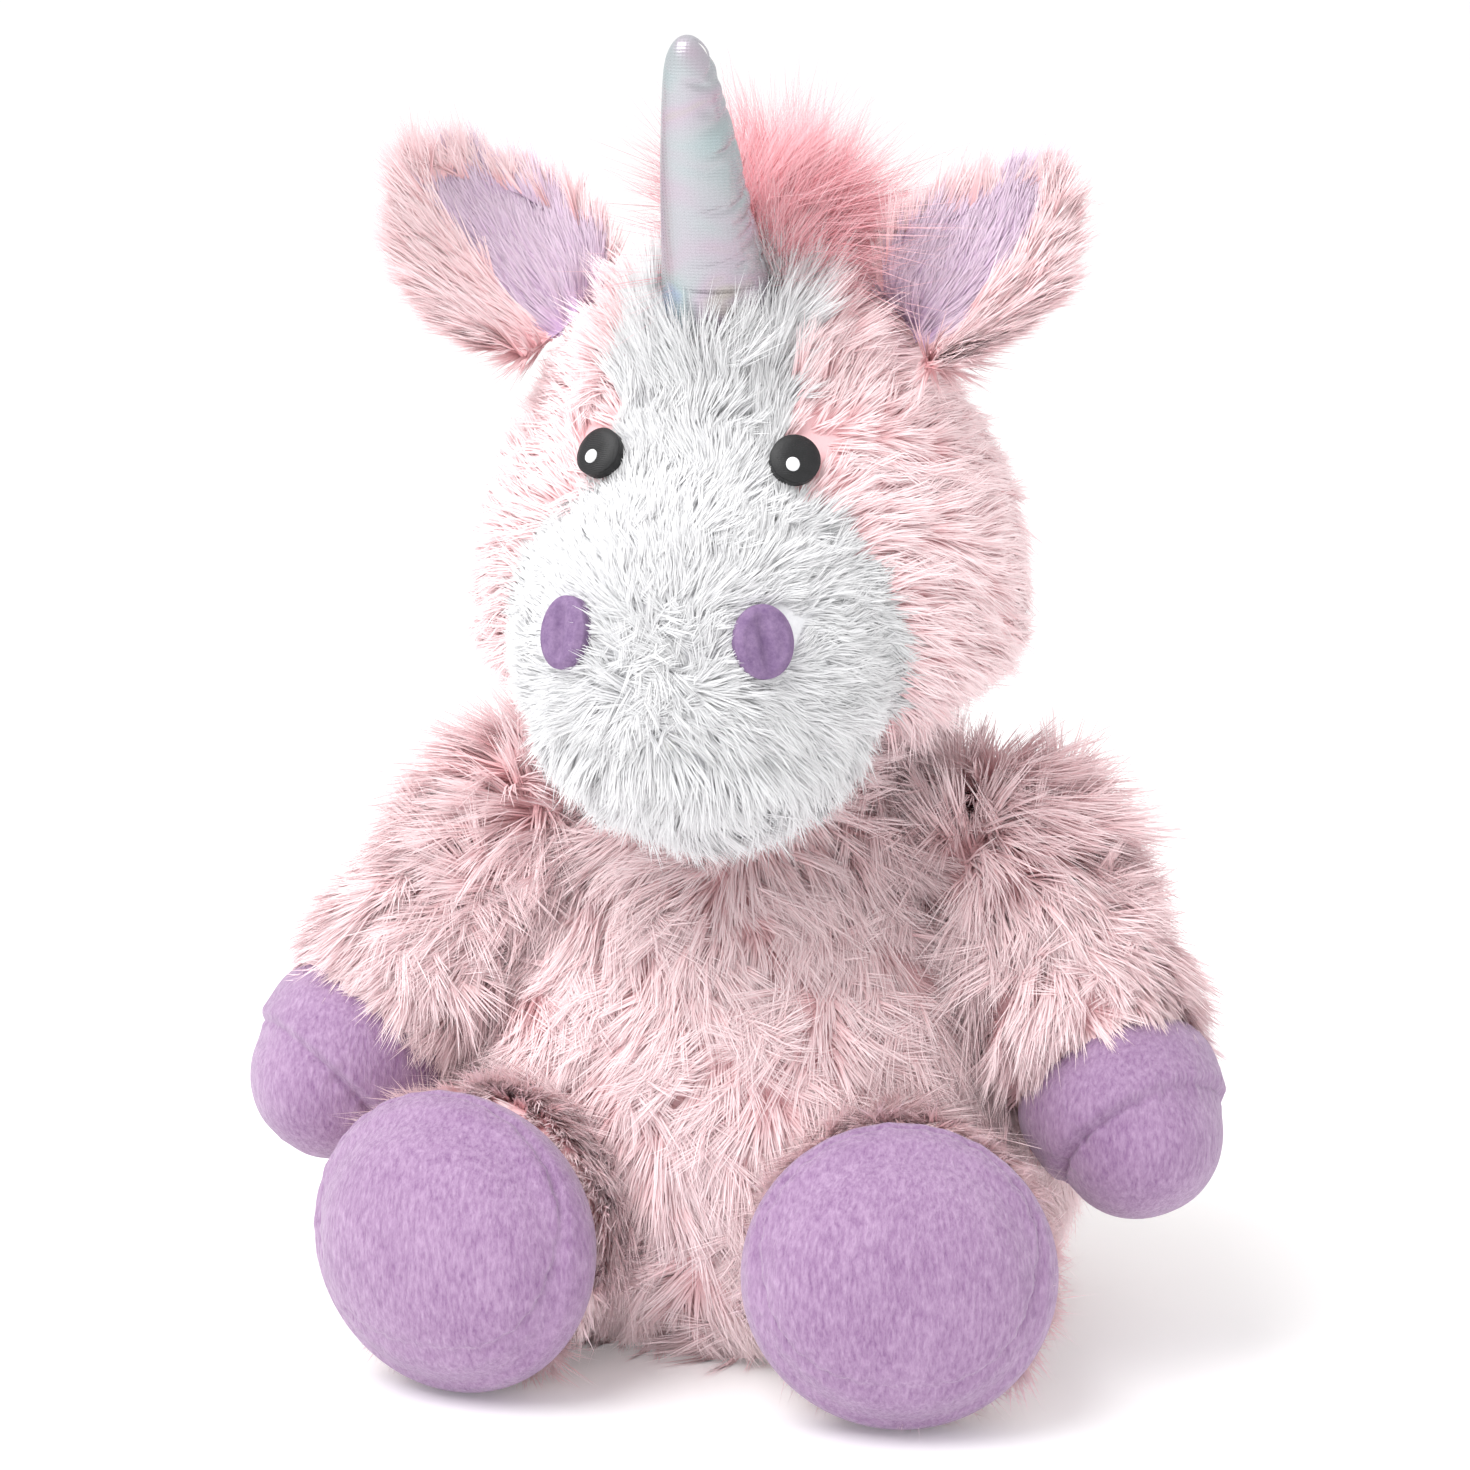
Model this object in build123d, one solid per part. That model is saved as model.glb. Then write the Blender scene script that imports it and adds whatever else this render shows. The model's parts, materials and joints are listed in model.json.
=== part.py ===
from build123d import *
import os
from math import asin, atan2, cos, degrees, radians, sin, sqrt, tan

# A seated plush unicorn in millimetres. +Z is up, the toy faces -Y and its own left side is +X.
# It is a set of sewn covers over stuffing. Each limb, the head, the horn and the tail end in a
# ball that sits in a round seat, because a sewn seam over soft stuffing bends in every direction.
# The origin is on the floor, under the middle of the bounding box. Everything below is laid out
# from the body's own upright axis, and the export moves it there.

# ---------------------------------------------------------------- cloth and gaps
pile = 5.0              # long-pile cover: backing cloth and combed pile
nap = 2.5               # short-pile cover of the hooves
lame = 0.8              # shiny woven cover of the horn
felt = 1.2              # nostril patches
embroidery = 1.0        # eye patches
running = 0.4           # gap between a ball and its seat
neck_gap = 1.0          # gap between the neck dome and the head
root_gap = 0.4          # gap round an ear's sewn root roll
snug = 0.15             # gap between a stuffed part and the loose wad inside it

# ---------------------------------------------------------------- body, a pear about the Z axis
base_r = 60.0           # flat seat that rests on the floor
belly_r, belly_z = 82.0, 42.0
chest_r, chest_z = 66.0, 98.0
collar_r, collar_z = 38.0, 150.0
neck_r = 38.0           # dome that the head turns on
neck = (0.0, -15.0, 147.0)
seam_tape = 2.5         # height of the neck seam allowance
seam_drop = 10.0        # the neck seam lies this far below the dome's centre
side_seam_y = 6.0       # front and back panels meet here
closing_low, closing_high, closing_width = 50.0, 108.0, 3.0

pouch_r, pouch_height = 38.0, 36.0      # bag of beans that weights the seat
pouch_y, pouch_z = 16.0, 9.0
pouch_cloth = 1.0

# ---------------------------------------------------------------- head, an egg about its own axis
head_y = -28.0
jaw_r, jaw_low = 95.0, 147.0            # flat round of its underside
cheek_r, cheek_z = 69.0, 190.0
crown_r, crown_top = 54.0, 274.0

muzzle_y, muzzle_z, muzzle_r = -72.0, 181.0, 47.0
white_margin = 2.0      # the white cloth reaches this far past the muzzle's own bulge
mouth_z = 168.0         # seam between the upper muzzle and the chin
blaze_half_width = 20.0
blaze_top = 264.0

eye_x, eye_z, eye_r = 24.0, 229.0, 6.3
glint_r, glint_drop = 1.7, 1.6
nostril_x, nostril_z = 24.0, 191.0
nostril_half_width, nostril_half_height = 7.2, 8.8

mane_half_width, mane_height = 11.0, 10.0
mane_front_y, mane_low_z = -14.0, 186.0
forelock_y, forelock_r, forelock_tip_r, forelock_height = -20.0, 14.0, 7.0, 27.0
forelock_sink = 8.0     # its sewn end starts this far under the crown

# ---------------------------------------------------------------- horn and ears
horn_y, horn_z = -56.0, 256.0
horn_lean = 25.0        # degrees forward of upright
horn_base_r, horn_tip_r, horn_length = 14.0, 5.5, 73.0

ear_rise = 34.0         # degrees up the crown's round to an ear's root
ear_turn = 12.0         # degrees forward of straight sideways
ear_slope = 40.0        # degrees that an ear leans out from upright
ear_twist = 30.0        # degrees about its own length that the lining faces inward
ear_length, ear_width, ear_base_width = 50.0, 40.0, 26.0
ear_cloth = 3.2         # each of the ear's two layers
ear_bow_r = 60.0        # radius that the cupped ear is bent to
ear_low_pull, ear_high_pull = 0.3, 0.8      # heights of the outline's two handles, over its length
ear_root_r = 4.0
ear_lift = 2.0          # the root roll's middle stands this far out of the head

# ---------------------------------------------------------------- arms
shoulder = (60.0, -12.0, 121.0)
arm_way = (52.0, -47.0, -71.3)      # direction from the shoulder to the hand
arm_ball_r, cuff_r, arm_sleeve = 21.0, 26.0, 66.0
hand_bulge_r, hand_seam_r = 25.0, 21.5
hand_band, hand_length = 18.0, 37.0
arm_lifts = (0.0, 18.0, 35.0)       # degrees forward that the body is hollowed for

# ---------------------------------------------------------------- legs
hip = (45.0, -55.0, 38.5)
leg_way = (11.0, -52.0, 0.0)        # direction from the hip to the foot
leg_ball_r, ankle_r, leg_sleeve = 28.0, 34.0, 38.0
foot_bulge_r, foot_seam_r = 37.5, 32.5
foot_band, foot_length = 19.0, 31.0
wad_r = 12.0                        # loose wad of stuffing at each limb's root

# ---------------------------------------------------------------- tail
tail_root = (0.0, 80.0, 58.0)
tail_way = (0.0, 30.0, -30.0)
tail_root_r, tail_r, tail_length = 8.0, 12.0, 46.0
tail_opening = 40.0

seat_opening = 20.0                 # a limb's seat opens outward by this, in degrees
horn_opening = 16.0
FAR = 400.0                         # longer than the toy, for cutting


# ================================================================ helpers
def section(*edges):
    """Half the section of a turned piece: (radius, height) edges from the bottom, closed to the axis."""
    low, high = edges[0] @ 0, edges[-1] @ 1
    foot, head = (0, low.Y), (0, high.Y)
    outline = list(edges)
    if low.X > 0.001:
        outline.append(Line(foot, low))
    if high.X > 0.001:
        outline.append(Line(high, head))
    outline.append(Line(head, foot))
    return make_face(outline)


def spun(half_section):
    """The solid of revolution about Z of a half section."""
    return revolve(Plane.XZ * half_section, Axis.Z)


def arc(height, radius, start, end):
    """Part of a circle round a point of the axis, from one angle above the level to another."""
    return CenterArc((0, height), radius, start, end - start)


def cap(height, rim, rise):
    """The round outline of a cap: its rim stands at a height, and its middle rises above that."""
    radius = (rim**2 + rise**2) / (2 * rise)
    start = degrees(asin((radius - rise) / radius))
    return arc(height + rise - radius, radius, start, 90)


def ball(centre, radius):
    return Pos(*centre) * Sphere(radius)


def lens(radius, half_height):
    """Two equal caps rim to rim."""
    upper = spun(section(cap(0, radius, half_height)))
    return upper + Rot(180, 0, 0) * upper


def pointing(origin, way, across=(1, 0, 0)):
    """The place of a piece whose own +Z runs along `way` from `origin`."""
    z = Vector(*way).normalized()
    y = z.cross(Vector(*across)).normalized()
    return Location(Plane(origin=origin, x_dir=y.cross(z), z_dir=z))


def seat(place, ball_r, reach, opening):
    """Room for a limb: a round seat for its ball, and a mouth that leaves the round straight and
    opens outward, so that a limb has the opening less its own flare to turn in."""
    bowl = arc(0, ball_r + running, -90, -opening)
    rim = bowl @ 1
    mouth = Line(rim, (rim.X + (reach - rim.Y) * tan(radians(opening)), reach))
    return place * spun(section(bowl, mouth))


def keep_side(shape, plane):
    """The part of a shape on the side that the plane's normal points to."""
    return split(shape, bisect_by=plane, keep=Keep.TOP)


def other_side(shape):
    return mirror(shape, about=Plane.YZ)


# ================================================================ shapes shared by neighbours
def body_section(depth):
    return section(
        ThreePointArc((base_r, depth), (belly_r - depth, belly_z), (chest_r - depth, chest_z)),
        Line((chest_r - depth, chest_z), (collar_r - depth, collar_z - depth)),
    )


def body_round(depth):
    return spun(body_section(depth)) + ball(neck, neck_r - depth)


crown_z = crown_top - crown_r
brow_slope = asin((cheek_r - crown_r) / (crown_z - cheek_z))


def head_egg(depth):
    """A flat-bottomed round below, the cheeks' round, a straight brow and the crown's round."""
    jaw, cheek, crown = jaw_r - depth, cheek_r - depth, crown_r - depth
    jaw_z = jaw_low + jaw_r
    meet_z = (jaw**2 - cheek**2 - jaw_z**2 + cheek_z**2) / (2 * (cheek_z - jaw_z))
    jaw_end = degrees(asin((meet_z - jaw_z) / jaw))
    cheek_start, slope = degrees(asin((meet_z - cheek_z) / cheek)), degrees(brow_slope)
    cheeks, top = arc(cheek_z, cheek, cheek_start, slope), arc(crown_z, crown, slope, 90)
    outline = section(arc(jaw_z, jaw, -90, jaw_end), cheeks, Line(cheeks @ 1, top @ 0), top)
    return Pos(0, head_y, 0) * spun(outline)


def lean_at(z):
    """How far the head leans in at a height: on the cheeks' round, then on the straight brow above."""
    return min(brow_slope, asin((z - cheek_z) / cheek_r))


def brow_radius(z):
    """The head's radius at a height between cheeks and crown."""
    return (cheek_r - (z - cheek_z) * sin(lean_at(z))) / cos(lean_at(z))


def muzzle(depth):
    return ball((0, muzzle_y, muzzle_z), muzzle_r - depth)


arm_place = pointing(shoulder, arm_way)
leg_place = pointing(hip, leg_way)
horn_place = pointing((0, horn_y, horn_z), (0.0, -sin(radians(horn_lean)), cos(radians(horn_lean))))
tail_place = pointing(tail_root, tail_way)


def lifted(place, centre, lift):
    """The same place after its limb has swung forward about its own centre."""
    return Pos(*centre) * Rot(-lift, 0, 0) * Pos(*[-c for c in centre]) * place


def ear_frame():
    """Origin on the crown. +Z points out along the ear, +X along its sewn base, +Y to the front."""
    turn, slope, rise = radians(ear_turn), radians(ear_slope), radians(ear_rise)
    out = (cos(turn), -sin(turn))
    reach = crown_r + ear_lift
    radius = reach * cos(rise)
    origin = (radius * out[0], head_y + radius * out[1], crown_z + reach * sin(rise))
    z_dir = (sin(slope) * out[0], sin(slope) * out[1], cos(slope))
    x_dir = (-cos(slope) * out[0], -cos(slope) * out[1], sin(slope))
    return Plane(origin=origin, x_dir=x_dir, z_dir=z_dir).rotated((0, 0, -ear_twist))


ear_place = Location(ear_frame())


def ear_root(extra=0.0):
    return ear_place * Rot(0, 90, 0) * Cylinder(ear_root_r + extra, ear_base_width + 2 * extra)


# ================================================================ body
def body_nodes():
    pear = spun(body_section(0) - body_section(pile))
    inner = body_round(pile)
    seats = [seat(leg_place, leg_ball_r, leg_sleeve, seat_opening)]
    for lift in arm_lifts:
        seats.append(seat(lifted(arm_place, shoulder, lift), arm_ball_r, arm_sleeve, seat_opening))
    seats += [other_side(s) for s in seats]
    seats.append(seat(tail_place, tail_root_r, 2 * tail_root_r, tail_opening))

    pouch_place = Pos(0, pouch_y, pouch_z + pouch_height / 2)
    pouch_outer = pouch_place * lens(pouch_r, pouch_height / 2)
    pouch_inner = pouch_place * lens(pouch_r - pouch_cloth, pouch_height / 2 - pouch_cloth)

    cover = pear + ball(neck, neck_r) - inner
    stuffing = inner - pouch_outer
    for room in seats:
        cover -= room
        stuffing -= room

    stuffing -= ball(neck, neck_r - pile)

    seam_z = neck[2] - seam_drop
    tape = Pos(0, 0, seam_z) * Box(FAR, FAR, seam_tape)
    above = Pos(0, 0, seam_z + FAR / 2) * Box(FAR, FAR, FAR)
    seam = cover & tape
    neck_panel = (cover & above) - tape
    cover = cover - tape - above

    base_disc = Pos(0, 0, pile / 2) * Cylinder(base_r - pile, pile)
    base = cover & base_disc
    cover -= base_disc

    closing_tool = Pos(0, FAR / 2, (closing_low + closing_high) / 2) * Box(
        closing_width, FAR, closing_high - closing_low
    )
    closing = cover & closing_tool
    cover -= closing_tool

    back = keep_side(cover, Plane(origin=(0, side_seam_y, 0), z_dir=(0, 1, 0)))
    return {
        "belly_panel": keep_side(cover, Plane(origin=(0, side_seam_y, 0), z_dir=(0, -1, 0))),
        "back_panel_left": keep_side(back, Plane(origin=(0, 0, 0), z_dir=(1, 0, 0))),
        "back_panel_right": keep_side(back, Plane(origin=(0, 0, 0), z_dir=(-1, 0, 0))),
        "base_panel": base,
        "neck_panel": neck_panel,
        "neck_seam": seam,
        "closing_seam": closing,
        "body_stuffing": stuffing,
        "bean_pouch": pouch_outer - pouch_inner,
        "bean_fill": pouch_inner,
    }


# ================================================================ head
def surface_patch(round_at, thickness, tool, lift=0.0):
    """A thin patch lying on a round, cut to the outline of a tool that runs through it."""
    return (round_at(-thickness - lift) - round_at(-lift)) & tool


def eye_place(drop=0.0):
    """Beside the blaze, facing squarely out of the head there."""
    across = sqrt(brow_radius(eye_z) ** 2 - eye_x**2)
    turn = atan2(eye_x, across)
    way = (sin(turn), -cos(turn), tan(lean_at(eye_z)))
    return pointing((eye_x, head_y - across, eye_z - drop), way)


def head_nodes():
    outer = head_egg(0) + muzzle(0)
    inner = head_egg(pile) + muzzle(pile)
    rooms = [ball(neck, neck_r + neck_gap), seat(horn_place, horn_base_r, 2 * horn_base_r, horn_opening)]
    rooms += [ear_root(root_gap), other_side(ear_root(root_gap))]

    cover = outer - inner
    stuffing = inner
    for room in rooms:
        cover -= room
        stuffing -= room

    blaze_height = blaze_top - muzzle_z
    blaze = Pos(0, head_y - FAR / 2, muzzle_z + blaze_height / 2) * Box(
        2 * blaze_half_width, FAR, blaze_height
    )
    white_tool = muzzle(-white_margin) + blaze
    white = cover & white_tool
    pink = cover - white_tool

    eye_tool = eye_place() * Cylinder(eye_r, 4 * eye_r)
    glint_tool = eye_place(glint_drop) * Cylinder(glint_r, 4 * eye_r)
    eye = surface_patch(head_egg, embroidery, eye_tool) - muzzle(0)
    glint = surface_patch(head_egg, embroidery / 2, glint_tool, lift=embroidery) - muzzle(0)

    nostril_tool = Pos(nostril_x, muzzle_y, nostril_z) * Rot(90, 0, 0) * extrude(
        Ellipse(nostril_half_width, nostril_half_height), 2 * muzzle_r
    )
    nostril = surface_patch(muzzle, felt, nostril_tool)

    tip_z = forelock_sink + forelock_height - forelock_tip_r
    tuft = section(Line((forelock_r, 0), (forelock_tip_r, tip_z)), arc(tip_z, forelock_tip_r, 0, 90))
    forelock = Pos(0, forelock_y, crown_top - forelock_sink) * spun(tuft)
    forelock -= head_egg(0)
    strip_tool = Pos(0, mane_front_y + FAR / 2, mane_low_z + FAR / 2) * Box(2 * mane_half_width, FAR, FAR)
    strip = surface_patch(head_egg, mane_height, strip_tool)
    return {
        "head_side_left": keep_side(pink, Plane(origin=(0, 0, 0), z_dir=(1, 0, 0))),
        "head_side_right": keep_side(pink, Plane(origin=(0, 0, 0), z_dir=(-1, 0, 0))),
        "face_panel": keep_side(white, Plane(origin=(0, 0, mouth_z), z_dir=(0, 0, 1))),
        "chin_panel": keep_side(white, Plane(origin=(0, 0, mouth_z), z_dir=(0, 0, -1))),
        "head_stuffing": stuffing,
        "eye_left": eye,
        "eye_right": other_side(eye),
        "eye_glint_left": glint,
        "eye_glint_right": other_side(glint),
        "nostril_left": nostril,
        "nostril_right": other_side(nostril),
        "forelock": forelock,
        "mane": strip - forelock,
        "neck_stuffing": ball(neck, neck_r - pile - running),
    }


# ================================================================ horn
def horn_nodes():
    def half(depth):
        low, high = horn_base_r - depth, horn_tip_r - depth
        side = Line((low, 0), (high, horn_length))
        return section(arc(0, low, -90, 0), side, arc(horn_length, high, 0, 90))

    return {
        "horn_cover": horn_place * spun(half(0) - half(lame)),
        "horn_stuffing": horn_place * spun(half(lame)),
    }


# ================================================================ ears
def ear_nodes():
    """Two cupped layers cut to one leaf outline, with the outer one's root rolled into the seam."""
    half_base, half_width = ear_base_width / 2, ear_width / 2
    fullest = half_width * 4 / 3
    low_handle, high_handle = (fullest, ear_length * ear_low_pull), (half_width, ear_length * ear_high_pull)
    right = Bezier((half_base, 0), low_handle, high_handle, (0, ear_length))
    left = mirror(right, about=Plane.YZ)
    leaf = make_face([right, left, Line((-half_base, 0), (half_base, 0))])
    blank = Rot(90, 0, 0) * extrude(leaf, ear_bow_r / 2, both=True)

    reach = ear_length / 2
    centre = (0, sqrt(ear_bow_r**2 - reach**2), reach)
    back_layer = blank & (ball(centre, ear_bow_r + ear_cloth) - ball(centre, ear_bow_r))
    lining = blank & (ball(centre, ear_bow_r) - ball(centre, ear_bow_r - ear_cloth))
    root = Rot(0, 90, 0) * Cylinder(ear_root_r, ear_base_width)
    back_clear = Rot(0, 90, 0) * Cylinder(ear_root_r, FAR)
    lining_clear = Rot(0, 90, 0) * Cylinder(ear_root_r + ear_lift, FAR)
    pieces = {"back": back_layer - back_clear + root, "lining": lining - lining_clear}
    left_ear = {f"ear_left_{k}": ear_place * p for k, p in pieces.items()}
    right_ear = {f"ear_right_{k}": other_side(ear_place * p) for k, p in pieces.items()}
    return left_ear | right_ear


# ================================================================ arms and legs
def limb_nodes(name, place, ball_r, cuff, sleeve, bulge, seam, band, length):
    """A sleeve over a ball end, a hoof of a band and a sole, one stuffing, and a wad at the root."""

    def sleeve_lines(depth):
        ball_end, rim = ball_r - depth, cuff - depth
        return [arc(0, ball_end, -90, 0), Line((ball_end, 0), (rim, sleeve))]

    def hoof_lines(depth):
        rim, middle, edge = cuff - depth, bulge - depth, seam - depth
        side = ThreePointArc((rim, sleeve), (middle, sleeve + band / 2), (edge, sleeve + band))
        return [side, cap(sleeve + band, edge, length - band - depth)]

    sleeve_wall = section(*sleeve_lines(0)) - section(*sleeve_lines(pile))
    hoof_wall = section(*hoof_lines(0)) - section(*hoof_lines(nap))
    beyond_seam = Pos(0, sleeve + band + FAR / 2) * Rectangle(FAR, FAR)
    step = Line((cuff - pile, sleeve), (cuff - nap, sleeve))
    filling = section(*sleeve_lines(pile), step, *hoof_lines(nap))
    wad = Sphere(wad_r)
    pieces = {
        "sleeve": spun(sleeve_wall),
        "hoof_band": spun(hoof_wall - beyond_seam),
        "hoof_sole": spun(hoof_wall & beyond_seam),
        "stuffing": spun(filling) - Sphere(wad_r + snug),
        "root_wad": wad,
    }
    left = {f"{name}_left_{k}": place * p for k, p in pieces.items()}
    right = {f"{name}_right_{k}": other_side(place * p) for k, p in pieces.items()}
    return left | right


# ================================================================ tail
def tail_nodes():
    end_z = tail_length - tail_r
    side = Line((tail_root_r, 0), (tail_r, end_z))
    return {"tail": tail_place * spun(section(arc(0, tail_root_r, -90, 0), side, arc(end_z, tail_r, 0, 90)))}


# ================================================================ placing and export
def all_nodes():
    nodes = body_nodes() | head_nodes() | horn_nodes() | ear_nodes() | tail_nodes()
    nodes |= limb_nodes(
        "arm", arm_place, arm_ball_r, cuff_r, arm_sleeve, hand_bulge_r, hand_seam_r, hand_band, hand_length
    )
    nodes |= limb_nodes(
        "leg", leg_place, leg_ball_r, ankle_r, leg_sleeve, foot_bulge_r, foot_seam_r, foot_band, foot_length
    )
    return nodes


def main():
    os.makedirs("parts", exist_ok=True)
    nodes = all_nodes()
    boxes = [shape.bounding_box() for shape in nodes.values()]
    front, back = min(box.min.Y for box in boxes), max(box.max.Y for box in boxes)
    floor = min(box.min.Z for box in boxes)
    for name, shape in nodes.items():
        export_step(Pos(0, -(front + back) / 2, -floor) * shape, f"parts/{name}.step")
    print(f"axis {-(front + back) / 2:.3f} mm behind the origin, {-floor:.3f} mm up, {len(nodes)} nodes")


main()
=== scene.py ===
# %% [markdown]
# # A brushed plush unicorn
# The toy is a set of sewn covers over stuffing. A covered part has two layers here: the backing
# cloth, which is a smooth closed skin, and the pile, which is many thousand thin tapered strands.
# Strands are plain mesh, because hair systems don't leave Blender with the model. They are worked
# out as whole arrays, so a part's full coat takes a second or two.

# %% Load the frame
import json
import math
import bmesh
import bpy
import numpy as np
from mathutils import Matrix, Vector


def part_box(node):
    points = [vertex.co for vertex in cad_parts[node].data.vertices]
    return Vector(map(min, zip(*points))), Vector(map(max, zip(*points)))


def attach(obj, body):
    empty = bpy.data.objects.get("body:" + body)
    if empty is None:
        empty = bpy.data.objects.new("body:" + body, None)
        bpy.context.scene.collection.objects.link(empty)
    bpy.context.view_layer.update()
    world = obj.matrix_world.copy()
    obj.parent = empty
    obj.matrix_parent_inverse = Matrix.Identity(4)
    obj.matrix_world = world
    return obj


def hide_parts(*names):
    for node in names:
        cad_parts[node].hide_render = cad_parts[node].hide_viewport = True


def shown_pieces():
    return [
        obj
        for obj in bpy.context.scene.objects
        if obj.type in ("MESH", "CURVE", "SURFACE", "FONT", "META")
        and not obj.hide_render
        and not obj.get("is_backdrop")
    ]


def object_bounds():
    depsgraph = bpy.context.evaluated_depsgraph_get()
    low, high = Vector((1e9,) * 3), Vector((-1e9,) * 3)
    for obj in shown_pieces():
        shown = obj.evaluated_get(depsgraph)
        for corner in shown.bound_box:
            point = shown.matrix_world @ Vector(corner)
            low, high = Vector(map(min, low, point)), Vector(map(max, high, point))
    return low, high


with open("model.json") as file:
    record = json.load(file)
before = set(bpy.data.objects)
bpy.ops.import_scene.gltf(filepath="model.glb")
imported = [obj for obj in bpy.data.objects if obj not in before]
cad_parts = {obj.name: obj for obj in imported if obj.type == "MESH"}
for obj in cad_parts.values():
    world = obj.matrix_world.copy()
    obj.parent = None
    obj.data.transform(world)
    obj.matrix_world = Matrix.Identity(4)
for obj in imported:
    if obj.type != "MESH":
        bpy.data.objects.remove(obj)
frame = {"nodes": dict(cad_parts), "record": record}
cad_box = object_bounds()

MM = 0.001
COLUMNS = 64            # shades that the strands of one coat are picked from
SEED = 11

# %% [markdown]
# ## Places
# Some places come from the frame: a joint gives the middle of its ball, and the base panel's box gives
# the body's upright axis. The other places are given in millimetres from that axis, and the head, the
# muzzle and the body are rounds about them.

# %% Places from the joints and boxes
joints = {j["name"]: j for j in frame["record"]["behaviour"]["joints"]}


def joint_at(name):
    return np.array(joints[name]["pos_m"], float)


def middle(node):
    low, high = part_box(node)
    return (np.array(low) + np.array(high)) / 2


def unit(vectors):
    """Each vector divided by its own length."""
    vectors = np.asarray(vectors, float)
    return vectors / np.maximum(np.linalg.norm(vectors, axis=-1, keepdims=True), 1e-12)


axis_y = middle("base_panel")[1]
neck = joint_at("head_nod")
LEFT, RIGHT = 1, -1
SIDES = {"left": LEFT, "right": RIGHT}
OUT, UP = np.eye(3)[0], np.eye(3)[2]


def toy(x, y, z):
    """A place in millimetres from the body's own upright axis, in metres of the frame."""
    return np.array([x, y, z], float) * MM + np.array([0, axis_y, 0])


print("body axis at", axis_y, "neck at", neck)

# %% [markdown]
# ## Surfaces and strands
# A surface is a function of two numbers, u round the part and v along it. Its normal is the cross
# product of the two steps along u and v, so the same function gives the skin's mesh, the roots of
# the strands and the way that they stand.

# %% Surfaces
def normal_of(surface, u, v, step=1e-3):
    """The cross product of a small step along u and one along v, and its length as an area."""
    along_u = surface(u + step, v) - surface(u - step, v)
    above, below = np.minimum(v + step, 1), np.maximum(v - step, 0)
    along_v = surface(u, above) - surface(u, below)
    cross = np.cross(along_u, along_v) / (2 * step * (above - below))[..., None]
    area = np.linalg.norm(cross, axis=-1)
    return cross / np.maximum(area, 1e-15)[..., None], area


def waves(points, size, seed):
    """A smooth random vector at each point: six sine waves, about `size` metres long, per axis."""
    rng = np.random.default_rng(seed)
    ways = unit(rng.normal(size=(6, 3))) * 2 * math.pi / (size * rng.uniform(0.7, 1.5, (6, 1)))
    phases = rng.uniform(0, 2 * math.pi, (6, 3))
    angles = points @ ways.T
    return np.sin(angles[..., None] + phases).sum(-2) / 2.5


def mesh_piece(name, points, loops, sizes, smooth=True):
    """One mesh object from points, the corners of all faces in a row, and each face's corner count."""
    mesh = bpy.data.meshes.new(name)
    mesh.vertices.add(len(points))
    mesh.vertices.foreach_set("co", np.ascontiguousarray(points, np.float32).ravel())
    mesh.loops.add(len(loops))
    mesh.loops.foreach_set("vertex_index", np.ascontiguousarray(loops, np.int32))
    mesh.polygons.add(len(sizes))
    starts = np.concatenate([[0], np.cumsum(sizes)[:-1]]).astype(np.int32)
    mesh.polygons.foreach_set("loop_start", starts)
    mesh.update(calc_edges=True)
    mesh.polygons.foreach_set("use_smooth", np.full(len(sizes), smooth))
    piece = bpy.data.objects.new(name, mesh)
    bpy.context.scene.collection.objects.link(piece)
    return piece


def skin(name, surface, around, along, keep=None):
    """A grid of the surface, closed round u, with the two ends closed to a point each.
    keep, a function of a face's middle, leaves faces out."""
    u, v = np.meshgrid(np.arange(around) / around, np.linspace(0, 1, along))
    points = surface(u, v).reshape(-1, 3)
    row, column = np.meshgrid(np.arange(along - 1), np.arange(around), indexing="ij")
    after = (column + 1) % around
    quads = np.stack([row * around + column, row * around + after,
                      (row + 1) * around + after, (row + 1) * around + column], -1).reshape(-1, 4)
    if keep is not None:
        quads = quads[keep(points[quads].mean(1))]
    piece = mesh_piece(name, points, quads.ravel(), np.full(len(quads), 4))
    weld(piece)
    return piece


def weld(piece, distance=2e-5):
    """Merges points that share a place, such as those of a pole, and drops loose ones."""
    work = bmesh.new()
    work.from_mesh(piece.data)
    bmesh.ops.remove_doubles(work, verts=work.verts, dist=distance)
    loose = [v for v in work.verts if not v.link_faces]
    bmesh.ops.delete(work, geom=loose, context="VERTS")
    work.to_mesh(piece.data)
    work.free()


def scatter(surface, count, rng, keep=None, v_range=(0.004, 0.996)):
    """count places spread evenly by area: random (u, v), kept in proportion to the area there."""
    found, total = [], 0
    probe_u, probe_v = rng.uniform(0, 1, 4000), rng.uniform(*v_range, 4000)
    most = normal_of(surface, probe_u, probe_v)[1].max() * 1.05
    while total < count:
        u, v = rng.uniform(0, 1, 2 * count), rng.uniform(*v_range, 2 * count)
        normals, area = normal_of(surface, u, v)
        points = surface(u, v)
        good = rng.uniform(0, most, len(u)) < area
        if keep is not None:
            good &= keep(points)
        found.append((points[good], normals[good]))
        total += good.sum()
    return np.concatenate([f[0] for f in found])[:count], np.concatenate([f[1] for f in found])[:count]


# %% [markdown]
# Real pile stands in locks: neighbouring fibres lean together and meet at the tip. So a lock is
# placed first, and its strands start round its root and draw together towards its tip. A strand is
# a ribbon of one quad and one triangle, laid with its flat side outward so that light glides over
# the coat, and its map gives it fine streaks, so that one ribbon passes for several fibres.

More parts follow.
